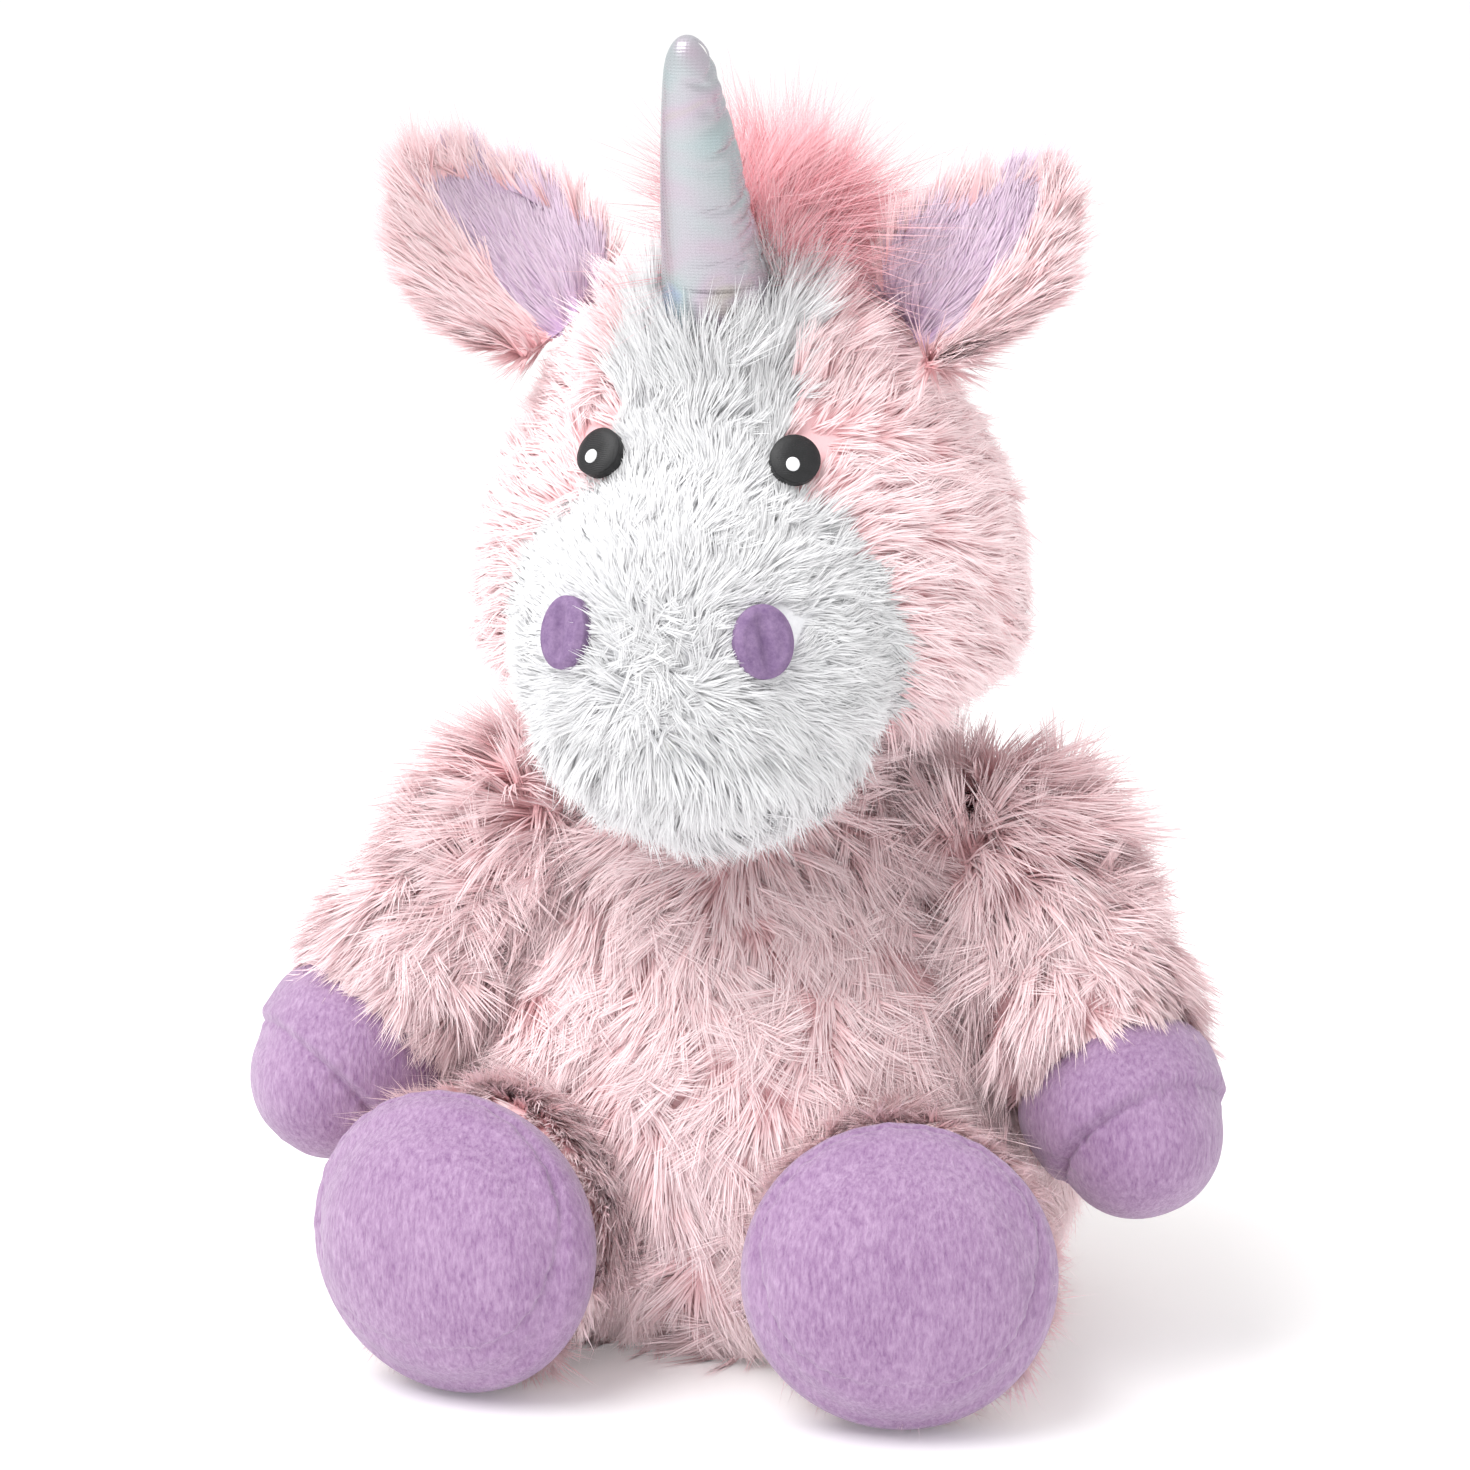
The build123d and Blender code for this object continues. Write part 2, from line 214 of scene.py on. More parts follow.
# %% Strands
def strands(name, points, normals, grain, length, width, per_lock, rng,
            spread=1.7, rise=0.42, lean=1.0, curl=0.4, gather=0.42, wild=0.2, sag=0.1, floor=None):
    """Ribbons from every lock. A strand runs root + s*length*way + s*s*length*bend, for s of 0, a
    half and 1, where way is unit(rise*normal + lean*grain), bend is curl*grain less a sag, and the
    strand's place in its lock shrinks by `gather` on the way to the tip."""
    locks = len(points)
    size = (locks, per_lock, 1)
    flat_grain = unit(grain - (grain * normals).sum(-1, keepdims=True) * normals)
    beside = unit(np.cross(normals, flat_grain))
    flow = flat_grain + wild * rng.normal(size=(locks, 1)) * beside
    flow = unit(flow)
    way = unit(rise * (1 + 0.25 * rng.normal(size=(locks, 1))) * normals + lean * flow)
    bend = curl * flow - 0.25 * normals - sag * UP
    lock_length = np.asarray(length) * rng.uniform(0.8, 1.2, locks)

    radius = spread * MM * np.sqrt(rng.uniform(0, 1, size))
    angle = rng.uniform(0, 2 * math.pi, size)
    place = radius * (np.cos(angle) * flat_grain[:, None] + np.sin(angle) * beside[:, None])
    own = lock_length[:, None, None] * rng.uniform(0.72, 1.08, size)
    fray = 0.07 * rng.normal(size=(locks, per_lock, 3))
    roots = points[:, None] + place - 0.3 * MM * normals[:, None]

    def at(s):
        run = s * own * (way[:, None] + s * fray) + s * s * own * bend[:, None] * 0.5
        return roots + run - place * gather * s

    low, mid, tip = at(0.0), at(0.5), at(1.0)
    facing = normals[:, None] + 0.35 * rng.normal(size=size) * beside[:, None]
    across = unit(np.cross(tip - low, facing)) * (width * MM / 2)
    corners = np.stack([low - across, low + across, mid - 0.8 * across, mid + 0.8 * across, tip], 2)
    corners = corners.reshape(-1, 5, 3)
    if floor is not None:
        corners[..., 2] = np.maximum(corners[..., 2], floor)

    total = len(corners)
    base = np.arange(total)[:, None] * 5
    loops = (base + np.array([0, 1, 3, 2, 2, 3, 4])).ravel()
    sizes = np.tile([4, 3], total)
    piece = mesh_piece(name, corners.reshape(-1, 3), loops, sizes)

    shade = np.clip(rng.normal(0.5, 0.16, (locks, 1)) + rng.normal(0, 0.1, (locks, per_lock)), 0, 0.999)
    column = np.floor(shade.ravel() * COLUMNS)[:, None]
    u = (column + np.array([0.1, 0.9, 0.9, 0.1, 0.1, 0.9, 0.5])) / COLUMNS
    v = np.tile([0.01, 0.01, 0.5, 0.5, 0.5, 0.5, 0.99], (total, 1))
    uv_map = piece.data.uv_layers.new(name="OFBake")
    uv_map.data.foreach_set("uv", np.stack([u, v], -1).astype(np.float32).ravel())

    return piece


def coat(name, surface, body, slot, material, count, length, width=0.55, per_lock=10, grain=None,
         keep=None, seed=0, swirl=0.8, swirl_size=16, **ways):
    """A combed coat on a surface: `count` strands in locks, leaning along the grain as it swirls."""
    rng = np.random.default_rng(SEED + seed)
    points, normals = scatter(surface, count // per_lock, rng, keep)
    length = length(points) if callable(length) else length
    if callable(ways.get("rise")):
        ways["rise"] = ways["rise"](points)[:, None]
    lie = grain(points, normals) if callable(grain) else np.broadcast_to(grain, points.shape)
    lie = unit(lie) + swirl * waves(points, swirl_size * MM, SEED + seed)
    longer = 1 + 0.22 * waves(points, 9 * MM, SEED + seed + 1)[:, 0]
    piece = strands(name, points, normals, lie, length * MM * longer, width, per_lock, rng, **ways)
    piece.data.materials.append(material)
    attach(piece, body)
    print(f"{name}: {len(piece.data.polygons) // 2} strands", flush=True)
    return piece


# %% [markdown]
# ## Finishes
# The coat's colour runs from a deeper root to a paler tip, where the deeper root is painted shade low
# in the coat, and each strand picks one of a few dozen tints from its column of the map, so one
# group serves every coat. Short nap, felt and the shiny horn cloth read Object coordinates.

# %% Node helpers
def srgb(red, green, blue):
    """Screen colour, 0 to 255, as the linear colour that shaders use."""
    value = np.array([red, green, blue]) / 255
    linear = np.where(value <= 0.04045, value / 12.92, ((value + 0.055) / 1.055) ** 2.4)
    return (*[float(x) for x in linear], 1.0)


def new_group(name, inputs, outputs):
    """A shader group whose sockets are given as (name, kind, default)."""
    group = bpy.data.node_groups.new(name, "ShaderNodeTree")
    for direction, sockets in (("INPUT", inputs), ("OUTPUT", outputs)):
        for label, kind, default in sockets:
            made = group.interface.new_socket(label, in_out=direction, socket_type=f"NodeSocket{kind}")
            if default is not None:
                made.default_value = default
    start, end = group.nodes.new("NodeGroupInput"), group.nodes.new("NodeGroupOutput")
    return group, start, end


def node(tree, kind, values=None, **settings):
    made = tree.nodes.new(f"ShaderNode{kind}")
    for key, value in settings.items():
        setattr(made, key, value)
    for key, value in (values or {}).items():
        made.inputs[key].default_value = value
    return made


def link(tree, *pairs):
    for source, target in pairs:
        tree.links.new(source, target)


# %% The shade of a strand
def strand_shade():
    """colour = mix(root, tip, v) * (1 + spread * (random(column) - 0.5 + streak noise - 0.5))."""
    group, start, end = new_group(
        "strand_shade",
        [("Root", "Color", (0.6, 0.3, 0.3, 1)), ("Tip", "Color", (0.9, 0.7, 0.7, 1)),
         ("Spread", "Float", 0.2)],
        [("Color", "Color", None)],
    )
    uv = node(group, "UVMap", uv_map="OFBake")
    parts = node(group, "SeparateXYZ")
    scaled = node(group, "Math", {1: float(COLUMNS)}, operation="MULTIPLY")
    column = node(group, "Math", operation="FLOOR")
    random = node(group, "TexWhiteNoise", noise_dimensions="1D")
    pull = node(group, "VectorMath", {1: (COLUMNS * 5.0, 1.6, 0.0)}, operation="MULTIPLY")
    streak = node(group, "TexNoise", {"Scale": 1.0, "Detail": 1.0}, noise_dimensions="2D")
    both = node(group, "Math", operation="ADD")
    centred = node(group, "Math", {1: 1.0}, operation="SUBTRACT")
    spread = node(group, "Math", operation="MULTIPLY")
    gain = node(group, "Math", {1: 1.0}, operation="ADD")
    # The darker root end of this mix is painted shade low in the coat; the paler tip is the lit fibre.
    run = node(group, "MapRange", {"From Min": 0.0, "From Max": 0.85}, interpolation_type="SMOOTHSTEP")
    mix = node(group, "Mix", data_type="RGBA")
    tinted = node(group, "VectorMath", operation="SCALE")
    link(
        group,
        (uv.outputs[0], parts.inputs[0]), (parts.outputs["X"], scaled.inputs[0]),
        (scaled.outputs[0], column.inputs[0]), (column.outputs[0], random.inputs["W"]),
        (uv.outputs[0], pull.inputs[0]), (pull.outputs[0], streak.inputs["Vector"]),
        (random.outputs["Value"], both.inputs[0]), (streak.outputs[0], both.inputs[1]),
        (both.outputs[0], centred.inputs[0]), (centred.outputs[0], spread.inputs[0]),
        (start.outputs["Spread"], spread.inputs[1]), (spread.outputs[0], gain.inputs[0]),
        (parts.outputs["Y"], run.inputs["Value"]), (run.outputs[0], mix.inputs["Factor"]),
        (start.outputs["Root"], mix.inputs[6]), (start.outputs["Tip"], mix.inputs[7]),
        (mix.outputs[2], tinted.inputs[0]), (gain.outputs[0], tinted.inputs["Scale"]),
        (tinted.outputs[0], end.inputs["Color"]),
    )
    return group


SHADE = strand_shade()


def shader(name, **sockets):
    """A material with its Principled shader and its node tree."""
    material = bpy.data.materials.new(name)
    material.use_nodes = True
    principled = material.node_tree.nodes["Principled BSDF"]
    for label, value in sockets.items():
        principled.inputs[label.replace("_", " ")].default_value = value
    return material, material.node_tree, principled


def pile_finish(name, root, tip, spread=0.22):
    material, tree, principled = shader(name, Roughness=0.85, Specular_IOR_Level=0.25, Sheen_Weight=0.25)
    shade = node(tree, "Group", node_tree=SHADE)
    shade.inputs["Root"].default_value = root
    shade.inputs["Tip"].default_value = tip
    shade.inputs["Spread"].default_value = spread
    link(tree, (shade.outputs["Color"], principled.inputs["Base Color"]))
    return material


# Every root colour here is darker than its tip: painted shade low in the coat.
pink_pile = pile_finish("pink_pile", srgb(248, 201, 204), srgb(254, 234, 236), 0.14)
white_pile = pile_finish("white_pile", srgb(222, 222, 224), srgb(233, 233, 234), 0.08)
lilac_pile = pile_finish("lilac_pile", srgb(196, 166, 198), srgb(226, 208, 224), 0.18)
hot_pink_pile = pile_finish("hot_pink_pile", srgb(246, 148, 158), srgb(250, 204, 210), 0.25)
print("coat finishes made")


# %% [markdown]
# Backing cloth, felt and short nap share one group: two scales of noise, one for the colour's
# slow drift and one for the surface's fine grain.

# %% Cloth grain
def cloth_grain():
    """colour = mix(dark, light, mix(drift noise, grain noise, fleck)); height is the grain noise."""
    group, start, end = new_group(
        "cloth_grain",
        [("Dark", "Color", (0.5, 0.5, 0.5, 1)), ("Light", "Color", (0.8, 0.8, 0.8, 1)),
         ("Drift", "Float", 60.0), ("Grain", "Float", 900.0), ("Stretch", "Vector", (1, 1, 1)),
         ("Fleck", "Float", 0.45)],
        [("Color", "Color", None), ("Height", "Float", None)],
    )
    place = node(group, "TexCoord")
    pull = node(group, "VectorMath", operation="MULTIPLY")
    drift = node(group, "TexNoise", {"Detail": 3.0, "Roughness": 0.6})
    grain = node(group, "TexNoise", {"Detail": 4.0, "Roughness": 0.7})
    both = node(group, "Mix", data_type="FLOAT")
    spread = node(group, "MapRange", {"From Min": 0.32, "From Max": 0.68})
    mix = node(group, "Mix", data_type="RGBA")
    link(
        group,
        (place.outputs["Object"], drift.inputs["Vector"]), (place.outputs["Object"], pull.inputs[0]),
        (start.outputs["Stretch"], pull.inputs[1]), (pull.outputs[0], grain.inputs["Vector"]),
        (start.outputs["Drift"], drift.inputs["Scale"]), (start.outputs["Grain"], grain.inputs["Scale"]),
        (drift.outputs[0], both.inputs[2]), (grain.outputs[0], both.inputs[3]),
        (start.outputs["Fleck"], both.inputs["Factor"]),
        (both.outputs[0], spread.inputs["Value"]), (spread.outputs[0], mix.inputs["Factor"]),
        (start.outputs["Dark"], mix.inputs[6]), (start.outputs["Light"], mix.inputs[7]),
        (mix.outputs[2], end.inputs["Color"]), (grain.outputs[0], end.inputs["Height"]),
    )
    return group


GRAIN = cloth_grain()


def cloth_finish(name, dark, light, drift=60.0, grain=900.0, stretch=(1, 1, 1), bump=0.4, deep=0.3,
                 fleck=0.45, **sockets):
    """A cloth from the shared grain group, whose height also feeds a fine bump."""
    material, tree, principled = shader(name, **sockets)
    cloth = node(tree, "Group", node_tree=GRAIN)
    for label, value in (("Dark", dark), ("Light", light), ("Drift", drift), ("Grain", grain),
                         ("Stretch", stretch), ("Fleck", fleck)):
        cloth.inputs[label].default_value = value
    height = node(tree, "Bump", {"Strength": bump, "Distance": deep * MM})
    link(
        tree,
        (cloth.outputs["Color"], principled.inputs["Base Color"]),
        (cloth.outputs["Height"], height.inputs["Height"]),
        (height.outputs["Normal"], principled.inputs["Normal"]),
    )
    return material


soft = dict(Roughness=0.9, Specular_IOR_Level=0.2)
pink_cloth = cloth_finish("pink_cloth", srgb(240, 194, 198), srgb(248, 208, 211), **soft)
white_cloth = cloth_finish("white_cloth", srgb(214, 214, 218), srgb(238, 238, 240), **soft)
lilac_cloth = cloth_finish("lilac_cloth", srgb(182, 150, 190), srgb(204, 176, 208), **soft)
hot_pink_cloth = cloth_finish("hot_pink_cloth", srgb(232, 112, 130), srgb(240, 140, 155), **soft)
# The nap's lighter streaks, from the stretched grain noise, are painted highlights of the velour.
lilac_nap = cloth_finish(
    "lilac_nap", srgb(136, 98, 142), srgb(186, 156, 189), drift=70.0, grain=1000.0, stretch=(1, 1, 0.3),
    bump=1.0, deep=0.6, fleck=0.8, Roughness=0.7, Specular_IOR_Level=0.3, Sheen_Weight=0.35,
    Sheen_Roughness=0.5,
)
felt = cloth_finish(
    "felt", srgb(112, 88, 126), srgb(150, 126, 160), drift=300.0, grain=1500.0, bump=0.6, deep=0.3, **soft
)
filling = cloth_finish("filling", srgb(225, 225, 222), srgb(248, 248, 246), drift=200.0, grain=1200.0, **soft)
inner_cloth = cloth_finish("inner_cloth", srgb(205, 198, 186), srgb(228, 222, 212), **soft)
pellets = cloth_finish("pellets", srgb(196, 190, 176), srgb(224, 220, 208), drift=400.0, grain=400.0, **soft)
thread = dict(drift=500.0, grain=2500.0, bump=0.3)
black_thread = cloth_finish("black_thread", srgb(9, 9, 10), srgb(26, 26, 29), Roughness=0.5, **thread)
white_thread = cloth_finish("white_thread", srgb(225, 225, 228), srgb(250, 250, 252), Roughness=0.5, **thread)
pink_thread = cloth_finish("pink_thread", srgb(214, 160, 164), srgb(238, 196, 198), Roughness=0.7, **thread)
print(len(bpy.data.materials), "finishes")


# %% [markdown]
# ## The body
# The body is a pear with a dome that the head turns on. Its panels are one soft shape to the eye,
# so the skin is the pear's own section turned round the upright axis, and the same function places
# the fur. The fur is left out where a limb or the head covers it for good.

# %% Curves
def smooth_path(radii, heights, samples=60):
    """Radius and height along a Catmull-Rom curve through the given pairs, by even length."""
    pairs = np.stack([radii, heights], -1).astype(float)
    ends = np.vstack([2 * pairs[0] - pairs[1], pairs, 2 * pairs[-1] - pairs[-2]])
    steps = np.linspace(0, 1, samples, endpoint=False)[:, None]
    runs = []
    for a, b, c, d in zip(ends, ends[1:], ends[2:], ends[3:]):
        runs.append(0.5 * (2 * b + (c - a) * steps + (2 * a - 5 * b + 4 * c - d) * steps**2
                           + (3 * b - a - 3 * c + d) * steps**3))
    run = np.vstack([*runs, pairs[-1:]])
    length = np.concatenate([[0], np.cumsum(np.linalg.norm(np.diff(run, axis=0), axis=1))])
    length /= length[-1]

    def profile(v):
        return np.interp(v, length, run[:, 0]) * MM, np.interp(v, length, run[:, 1]) * MM
    return profile


def rounded_union(first, second, softness):
    """The larger of two radii, with the step between them eased over `softness`."""
    high, low = np.maximum(first, second), np.minimum(first, second)
    ease = np.clip(1 - (high - low) / softness, 0, 1)
    return high + softness * ease**3 / 6


def ray_to_ball(ways, centre, radius):
    """How far along each way from the origin a ball's far side is, or nought where it is missed."""
    along = ways @ centre
    inside = along**2 - centre @ centre + radius**2
    return np.where(inside > 0, along + np.sqrt(np.maximum(inside, 0)), 0.0)


# %% The body's round
CLOTH = 4.0             # the backing cloth lies this far under the pile's outer face, in millimetres


def circle_through(a, b, c):
    """The middle of the circle through three points, from its two chords' bisectors."""
    rows = np.array([np.subtract(b, a), np.subtract(c, a)], float)
    ends = np.array([np.dot(b, b) - np.dot(a, a), np.dot(c, c) - np.dot(a, a)]) / 2
    return np.linalg.solve(rows, ends)


def pear_path(i):
    """The body's half section: a flat base, one arc up to the chest and a straight run to the collar."""
    low, belly, chest = (60, i), (82 - i, 42), (66 - i, 98)
    middle = circle_through(low, belly, chest)
    reach = math.dist(middle, low)
    angles = np.linspace(math.atan2(low[1] - middle[1], low[0] - middle[0]),
                         math.atan2(chest[1] - middle[1], chest[0] - middle[0]), 14)
    arc = middle + reach * np.stack([np.cos(angles), np.sin(angles)], -1)
    base = [(0, i), (30, i), (52, i), (57.5, i)]
    top = [(56 - i, 116.5), (47 - i, 133.3), (38 - i, 150 - i), (24, 160), (12, 168), (0, 172)]
    return smooth_path(*np.vstack([base, arc, top]).T)


pear_profile = pear_path(CLOTH)


def body_surface(u, v):
    """A pear turned round the upright axis, joined to the level sections of the neck's ball."""
    radius, height = pear_profile(v)
    angle = 2 * math.pi * u
    ways = np.stack([np.cos(angle), np.sin(angle)], -1)
    ball = np.sqrt(np.maximum((38 - CLOTH) ** 2 * MM**2 - (height - neck[2]) ** 2, 0))
    offset = np.array([neck[0], neck[1] - axis_y])
    along = ways @ offset
    inside = along**2 - offset @ offset + ball**2
    dome = np.where(inside > 0, along + np.sqrt(np.maximum(inside, 0)), 0.0)
    radius = np.where(radius > 0, rounded_union(radius, dome, 8 * MM), radius)
    level = radius[..., None] * ways
    return np.concatenate([level, height[..., None]], -1) + toy(0, 0, 0)


SIDE_SEAM = axis_y + 6 * MM
NECK_SEAM = neck[2] - 10 * MM
SHOULDERS = [joint_at(f"arm_{side}_spread") for side in SIDES]
HIPS = [joint_at(f"leg_{side}_splay") for side in SIDES]


def far_from(points, centres, radius):
    return np.all([np.linalg.norm(points - c, axis=-1) > radius * MM for c in centres], 0)


def on_base(p):
    return (p[..., 2] < 5 * MM) & (np.hypot(p[..., 0], p[..., 1] - axis_y) < 56 * MM)


def in_front(p):
    return p[..., 1] < SIDE_SEAM


body_panels = {
    "belly_panel": lambda p: ~on_base(p) & in_front(p) & (p[..., 2] < NECK_SEAM),
    "back_panel_left": lambda p: ~on_base(p) & ~in_front(p) & (p[..., 2] < NECK_SEAM) & (p[..., 0] > 0),
    "back_panel_right": lambda p: ~on_base(p) & ~in_front(p) & (p[..., 2] < NECK_SEAM) & (p[..., 0] <= 0),
    "base_panel": on_base,
    "neck_panel": lambda p: p[..., 2] >= NECK_SEAM,
}


def cover(name, surface, body, material, node_name, around=120, along=90, keep=None):
    """The stuffed backing cloth of one panel, standing for its CAD node."""
    piece = skin(name, surface, around, along, keep)
    piece.data.materials.append(material)
    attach(piece, body)
    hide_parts(node_name)
    return piece


for panel, inside in body_panels.items():
    made = cover(f"{panel}_cloth", body_surface, "body", pink_cloth, panel, keep=inside)
    print(panel, len(made.data.polygons), "faces of cloth")

# %% The body's coat
FLOOR = 0.4 * MM


def body_keep(inside):
    return lambda p: inside(p) & far_from(p, SHOULDERS, 19) & far_from(p, HIPS, 26)


def hanging(points, normals):
    """Down, and a little away from the middle line."""
    away = np.sign(points[:, :1]) * OUT
    return -UP + 0.25 * away


def up_chest(points):
    """0 on the belly, rising to 1 at the collar."""
    return np.clip((points[..., 2] - 100 * MM) / (32 * MM), 0, 1)


def hem(points):
    """1 at the floor, falling to 0 at 45 mm above it."""
    return np.clip(1 - points[..., 2] / (45 * MM), 0, 1)


on_left, on_right = (lambda p: p[..., 0] > 0), (lambda p: p[..., 0] <= 0)
coat_parts = {
    "belly_left_coat": ("belly_panel", on_left, 46000), "belly_right_coat": ("belly_panel", on_right, 46000),
    "back_left_coat": ("back_panel_left", on_left, 27000),
    "back_right_coat": ("back_panel_right", on_right, 27000),
}
for number, (name, (panel, half, count)) in enumerate(coat_parts.items()):
    inside = body_panels[panel]
    coat(name, body_surface, "body", "pink_pile", pink_pile, count,
         lambda p: 14 + 5 * up_chest(p) + 5 * hem(p), grain=hanging, rise=lambda p: 0.42 + 0.6 * up_chest(p),
         keep=body_keep(lambda p: inside(p) & half(p)), width=0.48,
         seed=10, swirl=0.9, swirl_size=20, floor=FLOOR)
coat("neck_panel_coat", body_surface, "body", "pink_pile", pink_pile, 14000, 15.0, grain=OUT, rise=1.2,
     keep=lambda p: body_panels["neck_panel"](p) & (p[..., 2] < 156 * MM), seed=14, floor=FLOOR)
coat("base_panel_coat", body_surface, "body", "pink_pile", pink_pile, 5000, 4.0, grain=OUT,
     keep=lambda p: on_base(p) & (np.hypot(p[..., 0], p[..., 1] - axis_y) > 40 * MM), seed=15, floor=FLOOR)

# %% [markdown]
# ## The head
# The head is a radius field: from a middle point, each direction meets the cheeks' round, the
# crown's round, the straight brow between them and the muzzle's ball. The white cloth is the muzzle
# and a blaze up to the horn, and the pink cloth is the rest, so both come from one surface.

# %% The head's round
HEAD_MIDDLE = toy(0, -40, 200)
MUZZLE_MIDDLE = toy(0, -72, 181)
MUZZLE_R = 47.0


def head_radius(ways, inset):
    """Rays from the head's middle meet a run of balls from cheeks to crown, cut off by the jaw's
    flat round; the muzzle's ball is joined on, and a Gaussian valley in height is the mouth."""
    steps = np.linspace(0, 1, 9)
    eggs = [ray_to_ball(ways, toy(0, -28, 190 + 30 * s) - HEAD_MIDDLE, (69 - 15 * s - inset) * MM)
            for s in steps]
    egg = np.max(eggs, 0)
    jaw = ray_to_ball(ways, toy(0, -28, 147 + 95) - HEAD_MIDDLE, (95 - inset) * MM)
    egg = np.minimum(egg, jaw)
    ball = ray_to_ball(ways, MUZZLE_MIDDLE - HEAD_MIDDLE, (MUZZLE_R - inset) * MM)
    reach = rounded_union(egg, ball, 8 * MM)
    height = (HEAD_MIDDLE[2] + ways[..., 2] * reach) / MM
    forward = np.clip(-ways[..., 1] * 2 - 0.6, 0, 1)
    mouth = 1.6 * np.exp(-(((height - 166) / 4.0) ** 2)) * forward
    return reach - mouth * MM


def head_at(inset):
    """The head as a radius field on a sphere of directions, u round the upright axis."""
    def surface(u, v):
        angle, polar = 2 * math.pi * u, math.pi * (1 - v)
        ways = np.stack([np.sin(polar) * np.cos(angle), np.sin(polar) * np.sin(angle), np.cos(polar)], -1)
        return HEAD_MIDDLE + ways * head_radius(ways, inset)[..., None]
    return surface


head_surface = head_at(CLOTH)
EYES = {side: toy(sign * 24, 0, 229) for side, sign in SIDES.items()}
NOSTRILS = {side: toy(sign * 24, 0, 191) for side, sign in SIDES.items()}
NOSE = toy(0, -119, 184)
horn_root = joint_at("horn_bend")
HORN_LEAN = math.radians(25)
horn_way = np.array([0, -math.sin(HORN_LEAN), math.cos(HORN_LEAN)])


def is_white(p):
    """The muzzle's own bulge, and the blaze on the front of the head up to the horn."""
    bulge = np.linalg.norm(p - MUZZLE_MIDDLE, axis=-1) < (MUZZLE_R - 1) * MM
    blaze = (np.abs(p[..., 0]) < 20 * MM) & (p[..., 1] < axis_y - 28 * MM) & (p[..., 2] < 264 * MM)
    return bulge | (blaze & (p[..., 2] > 180 * MM))


MOUTH = 168 * MM
head_panels = {
    "head_side_left": (lambda p: ~is_white(p) & (p[..., 0] > 0), "pink_pile", pink_cloth),
    "head_side_right": (lambda p: ~is_white(p) & (p[..., 0] <= 0), "pink_pile", pink_cloth),
    "face_panel": (lambda p: is_white(p) & (p[..., 2] >= MOUTH), "white_pile", white_cloth),
    "chin_panel": (lambda p: is_white(p) & (p[..., 2] < MOUTH), "white_pile", white_cloth),
}
for panel, (inside, slot_name, cloth) in head_panels.items():
    made = cover(f"{panel}_cloth", head_surface, "head", cloth, panel, 130, 100, inside)
    print(panel, len(made.data.polygons), "faces of cloth")


# %% The head's coat
def shape_gap(points, centres, half_width, half_height):
    """How far outside every upright oval a point is: 1 on its edge, seen from the front."""
    gaps = [np.hypot((points[..., 0] - c[0]) / half_width, (points[..., 2] - c[2]) / half_height) / MM
            for c in centres]
    front = points[..., 1] < axis_y - 40 * MM
    return np.where(front, np.min(gaps, 0), 9.0)


def head_keep(inside):
    def keep(p):
        from_horn = p - horn_root
        off_axis = np.linalg.norm(np.cross(from_horn, horn_way), axis=-1)
        bare = (off_axis < 13 * MM) & (from_horn @ horn_way > -20 * MM)
        low = np.linalg.norm(p - neck, axis=-1) < 40 * MM
        eyes = shape_gap(p, EYES.values(), 5.2, 5.2) > 1
        nostrils = shape_gap(p, NOSTRILS.values(), 6.0, 7.4) > 1
        return inside(p) & ~bare & ~low & eyes & nostrils
    return keep


def from_nose(points, normals):
    """Away from the nose over the whole head, and down with the fall of the pile."""
    return unit(points - NOSE) - 0.35 * UP


def round_nose(points, normals):
    """Away from the nose, and losing its way within 28 mm of it, where the swirl takes over."""
    away = np.linalg.norm(points - NOSE, axis=-1)[:, None] / (28 * MM)
    stray = 0.9 * waves(points, 5 * MM, SEED) * np.clip(1 - away, 0, 1)
    return unit(points - NOSE) * np.clip(away, 0.05, 1) + stray


def by_horn(points):
    """1 at the horn's root, falling to nought 32 mm away from it."""
    return np.clip(1 - np.linalg.norm(points - horn_root, axis=-1) / (32 * MM), 0, 1)


def pink_head_length(points):
    """Short by the eyes, and long behind, round the horn and along the jaw."""
    near = np.clip(shape_gap(points, EYES.values(), 18, 16), 0, 1)
    jaw = np.clip((176 * MM - points[..., 2]) / (16 * MM), 0, 1)
    return 5.5 + 5.5 * near + 20 * by_horn(points) + 8 * jaw


def white_length(points):
    """Short round the nostrils and eyes, and longest under the chin."""
    near = np.clip(shape_gap(points, NOSTRILS.values(), 13, 14), 0.4, 1)
    eyes = np.clip(shape_gap(points, EYES.values(), 13, 12), 0.75, 1)
    low = np.clip((178 * MM - points[..., 2]) / (30 * MM), 0, 1)
    return (7.5 + 4.5 * low) * near * eyes + 20 * by_horn(points)


for number, side in enumerate(SIDES):
    panel = f"head_side_{side}"
    coat(f"{panel}_coat", head_surface, "head", "pink_pile", pink_pile, 42000, pink_head_length, width=0.45,
         per_lock=7, grain=from_nose, keep=head_keep(head_panels[panel][0]), seed=20 + number, swirl=0.5,
         spread=1.3, rise=lambda p: 0.6 + 6 * by_horn(p))
coat("face_panel_coat", head_surface, "head", "white_pile", white_pile, 48000, white_length, width=0.45,
     per_lock=5, grain=round_nose,
     keep=head_keep(head_panels["face_panel"][0]), seed=23,
     swirl=0.45, swirl_size=12, spread=1.0, rise=lambda p: 0.6 + 2.6 * by_horn(p), sag=0.03)
coat("chin_panel_coat", head_surface, "head", "white_pile", white_pile, 22000, white_length, width=0.48,
     per_lock=6, grain=lambda p, n: unit(p - NOSE) - 0.5 * UP, keep=head_keep(head_panels["chin_panel"][0]),
     seed=24, swirl=0.4, spread=1.1, rise=0.5)


# %% [markdown]
# ## Eyes and nostrils
# An eye is satin stitch: rows of thread side by side over a raised disc. The disc is a polar grid
# on the head's own round, and its height carries a ridge for each thread. A nostril is an oval of
# felt with a crease down its middle.

